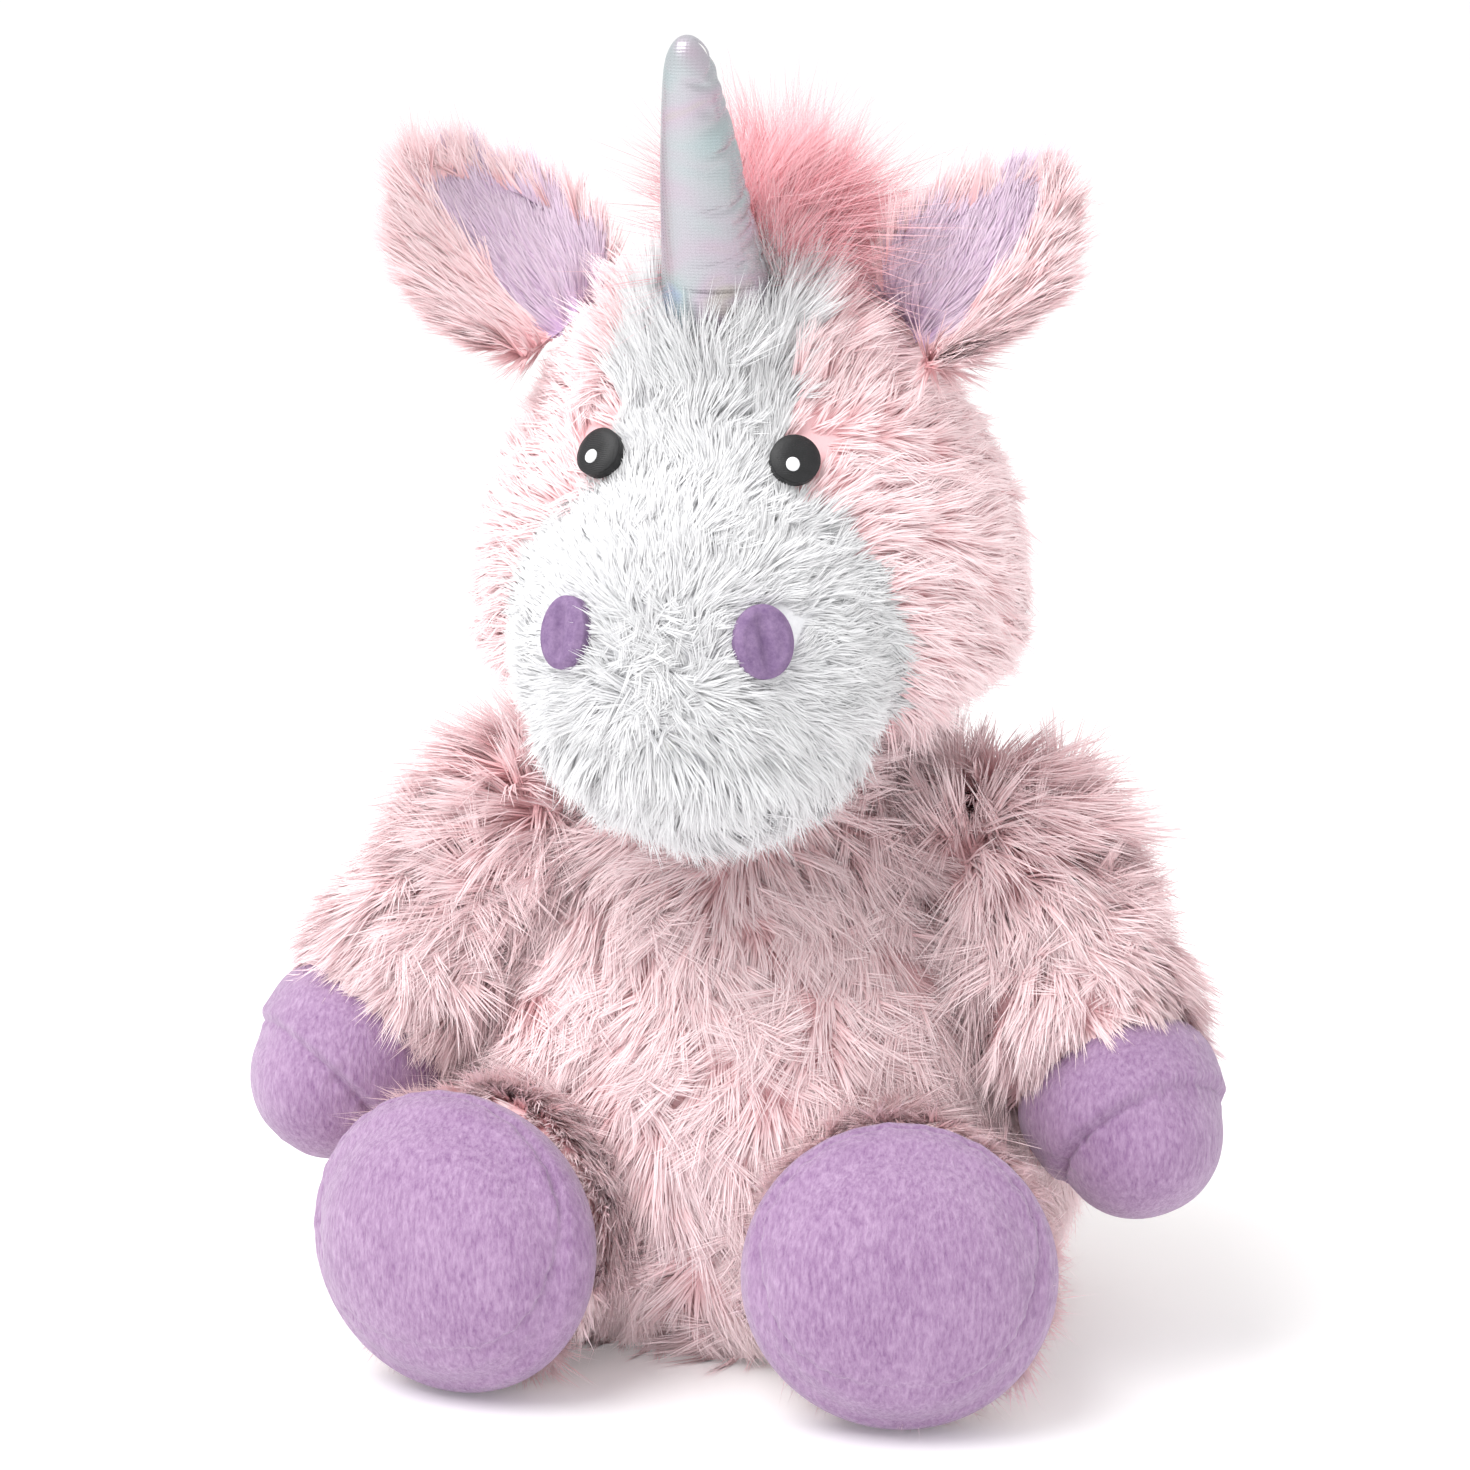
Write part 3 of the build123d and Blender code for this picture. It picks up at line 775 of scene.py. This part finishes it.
# %% Patches on the head
def patch(name, centre, half_width, half_height, rise, lift, material, node_name, relief,
          rings=40, spokes=120, surface_inset=0.0):
    """A polar disc set on the head by rays from its middle: radius there + lift + rise*(1 - r^4),
    with a skirt that goes down into the coat."""
    turns = np.arange(spokes) / spokes * 2 * math.pi
    radius, angle = np.meshgrid(np.linspace(0, 1.0, rings), turns, indexing="ij")
    radius = np.vstack([radius, np.ones((3, spokes)) * np.array([[1.0], [1.0], [0.98]])])
    angle = np.vstack([angle, angle[:3]])
    x, z = radius * np.cos(angle) * half_width * MM, radius * np.sin(angle) * half_height * MM
    drop = np.concatenate([np.zeros(rings), [0.6, 1.6, 3.0]])[:, None] * MM
    # The patch's plane faces out of the head at its centre.
    start = np.array([centre[0], axis_y - 40 * MM, centre[2]])
    hit = front_of_head(start[None], surface_inset)[0]
    step = 2 * MM
    right_hit = front_of_head(start[None] + [step, 0, 0], surface_inset)[0]
    up_hit = front_of_head(start[None] + [0, 0, step], surface_inset)[0]
    across, upward = unit(right_hit - hit), unit(up_hit - hit)
    out = unit(np.cross(across, upward))
    upward = unit(np.cross(out, across))
    flat = hit + x[..., None] * across + z[..., None] * upward
    ways = unit(flat - HEAD_MIDDLE)
    on_head = HEAD_MIDDLE + ways * head_radius(ways, surface_inset)[..., None]
    height = (lift + rise * (1 - radius**4) + relief(x / MM, z / MM, radius)) * MM - drop
    points = on_head + height[..., None] * out
    rows = len(points)
    flat_points = points.reshape(-1, 3)
    row, column = np.meshgrid(np.arange(rows - 1), np.arange(spokes), indexing="ij")
    after = (column + 1) % spokes
    quads = np.stack([row * spokes + column, (row + 1) * spokes + column,
                      (row + 1) * spokes + after, row * spokes + after], -1).reshape(-1, 4)
    piece = mesh_piece(name, flat_points, quads.ravel(), np.full(len(quads), 4))
    weld(piece)
    piece.data.materials.append(material)
    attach(piece, "head")
    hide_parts(node_name)
    return piece


def front_of_head(places, inset):
    """Where lines along the front-back axis through the places meet the head's front, by halving."""
    near, far = np.full(len(places), 0.0), np.full(len(places), 110 * MM)
    for _ in range(30):
        half = (near + far) / 2
        tests = places - half[:, None] * np.array([0, 1, 0])
        ways = tests - HEAD_MIDDLE
        reach = np.linalg.norm(ways, axis=-1)
        inside = reach < head_radius(unit(ways), inset)
        near, far = np.where(inside, half, near), np.where(inside, far, half)
    return places - near[:, None] * np.array([0, 1, 0])


def thread_rows(pitch, depth, tilt, seed):
    """Ridges of a rounded wave, pitch apart, across a direction tilted from level."""
    rng = np.random.default_rng(seed)
    wobble, phase = rng.uniform(0.1, 0.2), rng.uniform(0, 6)

    def relief(x, z, radius):
        across = z * math.cos(tilt) + x * math.sin(tilt) + wobble * np.sin(x * 1.3 + phase)
        return depth * (np.abs(np.sin(math.pi * across / pitch)) ** 0.6 - 1) * (radius < 0.999)
    return relief


def felt_crease(x, z, radius):
    """A soft valley down the middle, deeper towards the lower end, with a slightly raised rim."""
    valley = np.exp(-((x + 0.12 * z) / 1.5) ** 2) * np.clip(1.1 - radius**2, 0, 1)
    return -1.5 * valley + 0.5 * np.exp(-((radius - 0.8) / 0.14) ** 2)


for side, sign in SIDES.items():
    patch(f"eye_{side}_satin", EYES[side], 6.0, 6.0, 1.1, 0.3, black_thread, f"eye_{side}",
          thread_rows(0.5, 0.14, 0.25 * sign, 3), rings=70, spokes=140)
    glint_at = EYES[side] + np.array([-0.6, 0, -1.6]) * MM
    patch(f"eye_glint_{side}_satin", glint_at, 1.6, 1.7, 0.35, 1.65, white_thread,
          f"eye_glint_{side}", thread_rows(0.45, 0.1, 0.25 * sign, 4), rings=24, spokes=60)
    patch(f"nostril_{side}_felt", NOSTRILS[side], 7.2, 8.8, 1.0, 0.6, felt, f"nostril_{side}",
          felt_crease, rings=50, spokes=120)
print("eyes and nostrils made")


# %% [markdown]
# ## The ears
# An ear is two leaf-shaped layers sewn round the edge, the outer one long pink pile and the lining
# long lilac pile combed to the tip, and the root is folded so that the ear cups forward. The leaf is
# a flattened tube: its width follows the leaf's outline, and it is bent to a round of 60 mm.

# %% The leaf
EAR_LENGTH, EAR_BOW = 50.0, 60.0
EAR_TURN, EAR_HEM = 3.0, 6.0      # where the lining stops, short of the middle and of the tip


def ear_frames(side):
    """The ear's origin, and its ways across, to the front and out along it: it leans out by the
    slope, and turns about its own length so that the lining faces inward."""
    turn, slope, twist = math.radians(12), math.radians(40), math.radians(-30)
    out = np.array([math.cos(turn), -math.sin(turn)])
    along = np.array([math.sin(slope) * out[0], math.sin(slope) * out[1], math.cos(slope)])
    across = np.array([-math.cos(slope) * out[0], -math.cos(slope) * out[1], math.sin(slope)])
    front = np.cross(along, across)
    across, front = (math.cos(twist) * across + math.sin(twist) * front,
                     math.cos(twist) * front - math.sin(twist) * across)
    mirror = np.array([SIDES[side], 1, 1])
    return joint_at(f"ear_{side}_fold"), across * mirror, front * mirror, along * mirror


def leaf_half_width(t):
    """Half the leaf's width at a share t of its length: a Bezier outline's width by height."""
    s = np.linspace(0, 1, 200)
    width = 13 * (1 - s) ** 3 + 3 * 26.7 * s * (1 - s) ** 2 + 3 * 20 * s**2 * (1 - s)
    height = 3 * 0.3 * s * (1 - s) ** 2 + 3 * 0.8 * s**2 * (1 - s) + s**3
    return np.interp(t, height, width)


def ear_surface(side):
    origin, across, front, along = ear_frames(side)
    sign = SIDES[side]

    def surface(u, v):
        """x = width(v)*cos(u), bent back by a ball's sagitta and pinched forward at the root;
        the thickness is a sine of u, nought at both ends."""
        angle = 2 * math.pi * u * sign
        half = leaf_half_width(v) * np.sqrt(np.clip(v / 0.03, 0, 1)) * 0.94
        x = half * np.cos(angle)
        z = v * (EAR_LENGTH - 2)
        fold = 7 * np.exp(-((v / 0.45) ** 2)) * (x / 14) ** 2
        centre = math.sqrt(EAR_BOW**2 - (EAR_LENGTH / 2) ** 2)
        bow = centre - np.sqrt(np.maximum(EAR_BOW**2 - x**2 - (z - EAR_LENGTH / 2) ** 2, 0))
        thick = 1.6 * np.sin(angle) * np.clip(4 * (1 - v), 0, 1) ** 0.5
        y = bow + fold + thick
        return origin + (x[..., None] * across + y[..., None] * front + z[..., None] * along) * MM
    return surface


def leaf_side(side, lining):
    """Tells the lining from the pink cloth, which turns over the outer edge to the front."""
    origin, across, front, along = ear_frames(side)

    def keep(p):
        local = (p - origin) / MM
        x, y, z = local @ across, local @ front, local @ along
        centre = math.sqrt(EAR_BOW**2 - (EAR_LENGTH / 2) ** 2)
        bow = centre - np.sqrt(np.maximum(EAR_BOW**2 - x**2 - (z - EAR_LENGTH / 2) ** 2, 0))
        fold = 7 * np.exp(-((np.clip(z, 0, 99) / (EAR_LENGTH - 2) / 0.45) ** 2)) * (x / 14) ** 2
        return ((y > bow + fold) & (x > -EAR_TURN) & (z < EAR_LENGTH - EAR_HEM)) == lining
    return keep


for number, side in enumerate(SIDES):
    leaf, body = ear_surface(side), f"ear_{side}"
    ear_along = ear_frames(side)[-1]
    cover(f"{body}_back_cloth", leaf, body, pink_cloth, f"{body}_back", 96, 60,
          leaf_side(side, False))
    cover(f"{body}_lining_cloth", leaf, body, lilac_cloth, f"{body}_lining", 96, 60,
          leaf_side(side, True))
    fan = lambda p, n, o=joint_at(f"ear_{side}_fold"), a=ear_along: unit(p - o + 0.01 * a) + 0.4 * a
    coat(f"{body}_back_coat", leaf, body, "pink_pile", pink_pile, 19000, 16.0, grain=fan, width=0.5,
         keep=leaf_side(side, False), seed=30 + number, swirl=0.2, rise=0.3, curl=0.15, sag=0.05, spread=1.3)
    coat(f"{body}_lining_coat", leaf, body, "lilac_pile", lilac_pile, 13000, 12.0, grain=fan, width=0.5,
         keep=leaf_side(side, True), seed=34 + number, swirl=0.12, rise=0.16, curl=0.1, sag=0.0, spread=1.1,
         wild=0.12)

# %% [markdown]
# ## The horn
# The horn is a turned cone of foil-backed woven cloth round firm stuffing. Tight stuffing puckers
# such cloth in short level creases beside its seam, so the creases are in the shape, and the fine
# ribs of the weave are a bump. The foil's pale tints drift over it.

# %% The horn's shape
def axes_of(way, across=OUT):
    """Two level ways square to an axis, and the axis itself."""
    way = unit(way)
    second = unit(np.cross(way, across))
    return np.cross(second, way), second, way


def along_axis(origin, way, profile, relief=None, across=OUT):
    """(radius(v), height(v)) turned round any axis; relief(u, height) is added to the radius."""
    first, second, third = axes_of(way, across)

    def surface(u, v):
        radius, height = profile(v)
        if relief is not None:
            radius = np.maximum(radius + relief(u, height / MM) * MM * np.clip(radius / (4 * MM), 0, 1), 0)
        angle = 2 * math.pi * u
        return (origin + (radius * np.cos(angle))[..., None] * first
                + (radius * np.sin(angle))[..., None] * second + height[..., None] * third)
    return surface


def creases(count, seed, depth, low, high, seam_at=0.5, reach=0.16, thin=1.1):
    """A sum of short level valleys, each a Gaussian in height and in angle from the seam."""
    rng = np.random.default_rng(seed)
    heights = rng.uniform(low, high, count)
    angles = seam_at + rng.uniform(-reach, reach, count)
    spans = rng.uniform(0.03, 0.11, count)
    depths = depth * rng.uniform(0.4, 1.0, count)
    tilts = rng.normal(0, 9, count)
    thins = thin * rng.uniform(0.7, 1.5, count)

    def relief(u, height):
        total = np.zeros(np.broadcast(u, height).shape)
        for h, a, s, d, t, w in zip(heights, angles, spans, depths, tilts, thins):
            off = (u - a + 0.5) % 1 - 0.5
            total -= d * np.exp(-((off / s) ** 2)) * np.exp(-(((height - h - t * off) / w) ** 2))
        seam = (u - seam_at + 0.5) % 1 - 0.5
        return total - 0.55 * np.exp(-((seam / 0.008) ** 2))
    return relief


horn_profile = smooth_path([0, 8, 13.4, 13.8, 12.4, 10.9, 9.2, 7.5, 5.9, 4.3, 2.2, 0],
                           [-13, -11, -3, 0, 16, 32, 48, 61, 70.5, 75, 77.6, 78.2])
horn_creases = creases(54, 5, 0.65, 2, 72, seam_at=0.0, reach=0.2)
horn_surface = along_axis(horn_root, horn_way, horn_profile, horn_creases)


def lame_finish():
    """Pale foil: tints drift with noise, and a fine ribbed weave is the bump."""
    material, tree, principled = shader("lame", Metallic=0.55, Roughness=0.33, Specular_IOR_Level=0.6)
    place = node(tree, "TexCoord")
    drift = node(tree, "TexNoise", {"Scale": 38.0, "Detail": 3.0, "Distortion": 0.6})
    ramp = node(tree, "ValToRGB")
    stops = [(0.30, srgb(148, 164, 190)), (0.42, srgb(162, 176, 178)), (0.50, srgb(172, 176, 180)),
             (0.60, srgb(180, 168, 180)), (0.70, srgb(178, 174, 156))]
    while len(ramp.color_ramp.elements) < len(stops):
        ramp.color_ramp.elements.new(0.5)
    for element, (position, colour) in zip(ramp.color_ramp.elements, stops):
        element.position, element.color = position, colour
    ribs = node(tree, "TexWave", {"Scale": 420.0, "Distortion": 1.0, "Detail": 1.0}, bands_direction="Z")
    threads = node(tree, "TexWave", {"Scale": 300.0, "Distortion": 2.0, "Detail": 1.0}, bands_direction="X")
    weave = node(tree, "Mix", {"Factor": 0.35}, data_type="FLOAT")
    rough = node(tree, "MapRange", {"To Min": 0.24, "To Max": 0.46})
    bump = node(tree, "Bump", {"Strength": 0.35, "Distance": 0.15 * MM})
    link(
        tree,
        (place.outputs["Object"], drift.inputs["Vector"]), (place.outputs["Object"], ribs.inputs["Vector"]),
        (place.outputs["Object"], threads.inputs["Vector"]), (drift.outputs[0], ramp.inputs["Fac"]),
        (ramp.outputs["Color"], principled.inputs["Base Color"]),
        (ribs.outputs["Fac"], weave.inputs[2]), (threads.outputs["Fac"], weave.inputs[3]),
        (weave.outputs[0], rough.inputs["Value"]), (rough.outputs[0], principled.inputs["Roughness"]),
        (weave.outputs[0], bump.inputs["Height"]), (bump.outputs["Normal"], principled.inputs["Normal"]),
    )
    return material


horn = skin("horn_lame", horn_surface, 200, 330)
horn.data.materials.append(lame_finish())
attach(horn, "horn")
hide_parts("horn_cover")
print("horn:", len(horn.data.polygons), "faces")

# %% [markdown]
# ## Arms and legs
# A limb is a sleeve of pile, sewn to a hoof of short velour: a band round the side and a sole that
# bulges. The velour is stuffed tight, so the seam between band and sole sits in a groove with small
# puckers on both sides, and the nap is a fine bump; its lighter streaks are painted highlights in its colour.

# %% Limbs
LIMBS = {
    "arm": dict(ball=21.0, cuff=26.0, sleeve=66.0, bulge=25.0, seam=21.5, band=18.0, length=37.0),
    "leg": dict(ball=28.0, cuff=34.0, sleeve=38.0, bulge=37.5, seam=32.5, band=19.0, length=31.0),
}
WAYS = {"arm": np.array([52.0, -47.0, -71.3]), "leg": np.array([11.0, -52.0, 0.0])}


def puckers(count, seed, seam_height, depth, reach):
    """Pleats across a seam: three sines round the ring, fading with distance from it as a Gaussian,
    a narrow valley for the seam itself, and slow lumps of the stuffing."""
    rng = np.random.default_rng(seed)
    phases = rng.uniform(0, 2 * math.pi, 3)

    def relief(u, height):
        angle = 2 * math.pi * u
        centre = seam_height(u)
        pleats = (np.sin(count * angle + phases[0]) + 0.6 * np.sin(0.61 * count * angle + phases[1])
                  + 0.4 * np.sin(1.7 * count * angle + phases[2]))
        near = np.exp(-(((height - centre) / reach) ** 2))
        groove = np.exp(-(((height - centre) / 0.9) ** 2))
        lumps = 0.25 * np.sin(3 * angle + phases[1]) * np.sin(height / 7 + phases[2])
        return depth * pleats * near - 1.3 * groove + lumps
    return relief


def make_limb(limb, side, seed):
    size, sign, body = LIMBS[limb], SIDES[side], f"{limb}_{side}"
    joint = "spread" if limb == "arm" else "splay"
    origin = joint_at(f"{body}_{joint}")
    way = WAYS[limb] * [sign, 1, 1]
    b, c, i = size["ball"], size["cuff"], CLOTH
    end, seam_z = size["sleeve"], size["sleeve"] + size["band"]
    tip = size["sleeve"] + size["length"]
    sleeve = smooth_path(
        [0, 0.72 * (b - i), b - i, b + 0.4 * (c - b) - i + 1, c - i + 0.8, c - i - 1, 0.6 * c, 0],
        [-(b - i), -0.72 * (b - i), 0, 0.45 * end, 0.8 * end, end + 1, end + 5, end + 6])
    sleeve_surface = along_axis(origin, way, sleeve)
    cover(f"{body}_sleeve_cloth", sleeve_surface, body, pink_cloth, f"{body}_sleeve", 80, 60)

    third = unit(way)

    def off_band(p):
        return ((p - origin) @ third < (end - 1.5) * MM)

    def grain(points, normals):
        along = (points - origin) @ third / MM
        return third - 0.35 * UP + 1.2 * sign * OUT * np.clip(1 - along / 34, 0, 1)[:, None]

    def coat_length(points):
        along = (points - origin) @ third / MM
        off = points - origin - along[:, None] * MM * third
        height = np.clip(off @ (UP - 0.6 * sign * OUT) / MM / c, -1, 1)
        shoulder = {"arm": 7.0, "leg": 0.0}[limb] * np.clip(1 - along / 26, 0, 1)
        return 18.0 - (8.5 + 5.5 * height) * np.clip((along - end + 22) / 16, 0, 1) + shoulder

    def stand(points):
        """The pile leans along the sleeve, and stands up at the shoulder."""
        along = (points - origin) @ third / MM
        return 0.62 + {"arm": 0.7, "leg": -0.2}[limb] * np.clip(1 - along / 26, 0, 1)

    count = 40000 if limb == "arm" else 32000
    coat(f"{body}_sleeve_coat", sleeve_surface, body, "pink_pile", pink_pile, count, coat_length, grain=grain,
         keep=lambda p: off_band(p) & ((p - origin) @ third > -0.92 * b * MM), seed=seed, swirl=1.0,
         floor=FLOOR, rise=stand)

    rim, bulge, edge = c - 2.0, size["bulge"], size["seam"]
    rise = tip - seam_z
    hoof = smooth_path(
        [0, 0.7 * rim, rim - 1, 0.5 * (rim + bulge) + 0.8, bulge, 0.5 * (bulge + edge) + 0.7, edge,
         0.86 * edge, 0.66 * edge, 0.36 * edge, 0],
        [end - 6, end - 5, end - 2, end + 0.22 * size["band"], end + 0.55 * size["band"],
         end + 0.85 * size["band"], seam_z, seam_z + 0.42 * rise, seam_z + 0.72 * rise,
         seam_z + 0.93 * rise, tip])
    first, second, _ = axes_of(way)
    drop = {"leg": 8.0, "arm": 2.0}[limb] / edge
    lean_u = math.atan2(second @ UP, first @ UP)

    def seam_height(u):
        """The seam's plane leans back at the top: its height falls with the cosine from the top."""
        return seam_z - drop * edge * np.cos(2 * math.pi * u - lean_u)

    def before_seam(p):
        off = (p - origin) / MM
        level = off - (off @ third)[..., None] * third
        return off @ third < seam_z - drop * (level @ unit(UP - (UP @ third) * third)) - 0.05

    relief = puckers(31 if limb == "leg" else 23, seed, seam_height, 0.22, 3.2)
    hoof_surface = along_axis(origin, way, hoof, relief)
    around, along = (210, 170) if limb == "leg" else (180, 150)
    for part, inside in (("band", before_seam), ("sole", lambda p: ~before_seam(p))):
        cover(f"{body}_hoof_{part}_nap", hoof_surface, body, lilac_nap, f"{body}_hoof_{part}",
              around, along, inside)


for number, (limb, side) in enumerate([(limb, side) for limb in LIMBS for side in SIDES]):
    make_limb(limb, side, 40 + 2 * number)

# %% [markdown]
# ## Forelock, mane and tail
# The hair is a long, loose pile, so each lock is thin and the ends stray. The strands grow from a
# small cap behind the horn, from a strip down the back of the head, and from the tail's core.

# %% Hair
def tuft_cloth(name, surface, body):
    """The low pad of hot pink cloth that a tuft of hair grows from."""
    cover(f"{name}_cloth", surface, body, hot_pink_cloth, name, 60, 40)


crown = toy(0, -24, 262)
forelock_profile = smooth_path([0, 10, 14, 13, 10, 5, 0], [-6, -2, 4, 11, 15, 17, 17.5])
forelock_surface = along_axis(crown, UP, forelock_profile)
TUFT_EDGE, TUFT_LONG, TUFT_SHORT = -7 * MM, 38.0, 14.0


def forelock_length(points):
    """Long over most of the cap, and short on its right edge."""
    return np.where(points[:, 0] > TUFT_EDGE, TUFT_LONG, TUFT_SHORT)


tuft_cloth("forelock", forelock_surface, "head")
coat("forelock_hair", forelock_surface, "head", "pink_hair", hot_pink_pile, 16000, forelock_length,
     width=0.26, per_lock=5, grain=lambda p, n: 1.3 * UP + 0.6 * unit(p - crown) + 0.5 * OUT,
     seed=60, swirl=0.9, swirl_size=12, spread=1.1, rise=0.6, curl=0.1, wild=0.4, sag=-0.05, gather=0.4)


def mane_surface(u, v):
    """A low roll over the back of the head: an oval section carried along the head's middle line."""
    polar = math.radians(8) + v * math.radians(98)
    ways = np.stack([0 * polar, np.sin(polar), np.cos(polar)], -1)
    ends = np.sqrt(np.clip(1 - (2 * v - 1) ** 8, 0, 1))
    angle = 2 * math.pi * u
    spine = HEAD_MIDDLE + ways * (head_radius(ways, CLOTH))[..., None]
    across = (8 * np.cos(angle) * ends)[..., None] * MM * OUT
    outward = (3.0 * np.sin(angle) * ends)[..., None] * MM * ways
    return spine + across * -1 + outward


tuft_cloth("mane", mane_surface, "head")
coat("mane_hair", mane_surface, "head", "pink_hair", hot_pink_pile, 15000, 19.0, width=0.38, per_lock=6,
     grain=lambda p, n: -UP + 0.8 * np.array([0, 1.0, 0]) + 0.5 * np.sign(p[:, :1]) * OUT,
     keep=lambda p: head_keep(lambda q: q[..., 0] < 9)(p), seed=62, swirl=0.9, swirl_size=12, spread=1.1,
     rise=0.7, curl=0.4, wild=0.5, gather=0.5)

tail_root = joint_at("tail_sway")
tail_profile = smooth_path([0, 5, 6.5, 8, 9, 7, 0], [-7, -4, 2, 14, 26, 36, 40])
tail_surface = along_axis(tail_root, np.array([0, 30.0, -30.0]), tail_profile)
tuft_cloth("tail", tail_surface, "tail")
coat("tail_hair", tail_surface, "tail", "pink_hair", hot_pink_pile, 10000, 13.0, width=0.4, per_lock=6,
     grain=lambda p, n: unit(np.array([0, 30.0, -34.0])) + 0.0 * p, seed=64, swirl=0.6, spread=1.2, rise=0.4,
     curl=0.3, wild=0.5, gather=0.5, floor=FLOOR)

# %% [markdown]
# ## Seams
# The neck's hand-sewn seam shows as a ring of short slanted stitches under the fur, and the back is
# closed by a ladder of them. A stitch is a short rounded bar, the same few faces each time.

# %% Stitches
def stitches(name, places, ways, normals, body, node_name, length=3.4, thick=0.45):
    """A six-sided spindle per stitch: its radius is a half ellipse of its length."""
    ends = np.linspace(0, 1, 7)
    radii = thick * np.sqrt(np.clip(1 - (2 * ends - 1) ** 4, 0.02, 1))
    angle = np.arange(6) / 6 * 2 * math.pi
    ways, normals = unit(ways), unit(normals)
    sides = np.cross(ways, normals)
    along = (ends - 0.5)[None, :, None, None] * length * ways[:, None, None]
    arch = (0.5 * np.sin(math.pi * ends))[None, :, None, None] * normals[:, None, None]
    ring = (np.cos(angle)[None, None, :, None] * sides[:, None, None]
            + np.sin(angle)[None, None, :, None] * normals[:, None, None]) * radii[None, :, None, None]
    points = places[:, None, None] + (along + arch + ring) * MM
    count = len(places)
    row, column = np.meshgrid(np.arange(6), np.arange(6), indexing="ij")
    after = (column + 1) % 6
    quads = np.stack([row * 6 + column, row * 6 + after, (row + 1) * 6 + after, (row + 1) * 6 + column], -1)
    quads = quads.reshape(1, -1, 4) + (np.arange(count) * 42)[:, None, None]
    caps = np.stack([np.arange(5, -1, -1), np.arange(36, 42)])[None] + (np.arange(count) * 42)[:, None, None]
    loops = np.concatenate([quads.ravel(), caps.ravel()])
    sizes = np.concatenate([np.full(count * 36, 4), np.full(count * 2, 6)])
    piece = mesh_piece(name, points.reshape(-1, 3), loops, sizes)
    piece.data.materials.append(pink_thread)
    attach(piece, body)
    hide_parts(node_name)


def seam_on_body(u, v, slant, name, node_name, lift=1.5):
    """Stitches at places on the body's round, slanted from the run of the seam."""
    places = body_surface(u, v)
    normals, _ = normal_of(body_surface, u, v)
    run = unit(np.gradient(places, axis=0))
    side = np.cross(normals, run)
    stitches(name, places + lift * MM * normals, run * math.cos(slant) + side * math.sin(slant), normals,
             "body", node_name)


probe = np.linspace(0, 1, 2000)
probe_z = body_surface(np.full(2000, 0.25), probe)[:, 2]
v_at = lambda z: np.interp(z * MM, probe_z, probe)
ring_u = np.linspace(0, 1, 96)[:-1]
seam_on_body(ring_u, np.full(95, v_at(137)), 1.0, "neck_seam_stitches", "neck_seam")
rows = np.linspace(50, 108, 18)
seam_on_body(np.full(18, 0.25), v_at(rows), 1.35, "closing_seam_stitches", "closing_seam")

# %% [markdown]
# ## Inside
# The stuffing, the loose wads, the pouch and its beans keep the shapes that they have, since they
# are only seen when a cover is taken off. Each gets its own finish.

# %% Inside pieces
inside_finish = {"bean_pouch": inner_cloth, "bean_fill": pellets}
for name, piece in frame["nodes"].items():
    if name in inside_finish or name.endswith(("stuffing", "wad")):
        piece.data.materials.clear()
        piece.data.materials.append(inside_finish.get(name, filling))

# %% [markdown]
# ## Stage, light and camera
# A pale flat floor, a bright pale surround and one soft key from the upper left of the front. The
# camera stands at a given bearing, height and distance from a point on the body's axis.

# %% Stage
FLOOR_HALF = 30.0
floor_corners = FLOOR_HALF * np.array([[-1, -1, 0], [1, -1, 0], [1, 1, 0], [-1, 1, 0]], float)
floor = mesh_piece("floor", floor_corners, [0, 1, 2, 3], [4])
floor_paint, _, _ = shader("floor_paint", Base_Color=srgb(250, 250, 250), Roughness=0.9,
                           Emission_Color=(1, 1, 1, 1), Emission_Strength=0.12)
floor.data.materials.append(floor_paint)
floor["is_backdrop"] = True

world = bpy.data.worlds.new("surround")
bpy.context.scene.world = world
world.use_nodes = True
world.node_tree.nodes["Background"].inputs["Color"].default_value = (1, 1, 1, 1)
world.node_tree.nodes["Background"].inputs["Strength"].default_value = 0.95


def soft_light(name, place, aim, size, power):
    lamp = bpy.data.lights.new(name, "AREA")
    lamp.shape, lamp.size, lamp.energy = "DISK", size, power
    piece = bpy.data.objects.new(name, lamp)
    bpy.context.scene.collection.objects.link(piece)
    way = np.array(aim) - np.array(place)
    piece.location = place
    piece.rotation_euler = Vector(way).to_track_quat("-Z", "Y").to_euler()
    return piece


soft_light("key", (-0.5, -0.65, 1.3), (0, 0, 0.15), 1.2, 18)

AZIMUTH, ELEVATION, DISTANCE = math.radians(14), math.radians(12), 1.2
right = np.array([math.cos(AZIMUTH), math.sin(AZIMUTH), 0])
back = np.array([math.sin(AZIMUTH) * math.cos(ELEVATION), -math.cos(AZIMUTH) * math.cos(ELEVATION),
                 math.sin(ELEVATION)])
target = toy(0, 0, 145.3) - 10.2 * MM * right
lens = bpy.data.cameras.new("camera")
lens.lens, lens.sensor_width = 115.4, 36.0
camera = bpy.data.objects.new("camera", lens)
bpy.context.scene.collection.objects.link(camera)
camera.location = target + back * DISTANCE
camera.rotation_euler = Vector(-back).to_track_quat("-Z", "Y").to_euler()
bpy.context.scene.camera = camera
bpy.context.scene.view_settings.view_transform = "Standard"

# %% Sizes and finish
new_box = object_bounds()
grown = [[round(1000 * (b - a), 1) for a, b in zip(p, q)] for p, q in zip(cad_box, new_box)]
print("the coat stands past the frame's box by (mm)", grown)
triangles = {p.name: sum(f.loop_total - 2 for f in p.data.polygons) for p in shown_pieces()}
print("triangles in all", sum(triangles.values()), "most in one", max(triangles.values()))
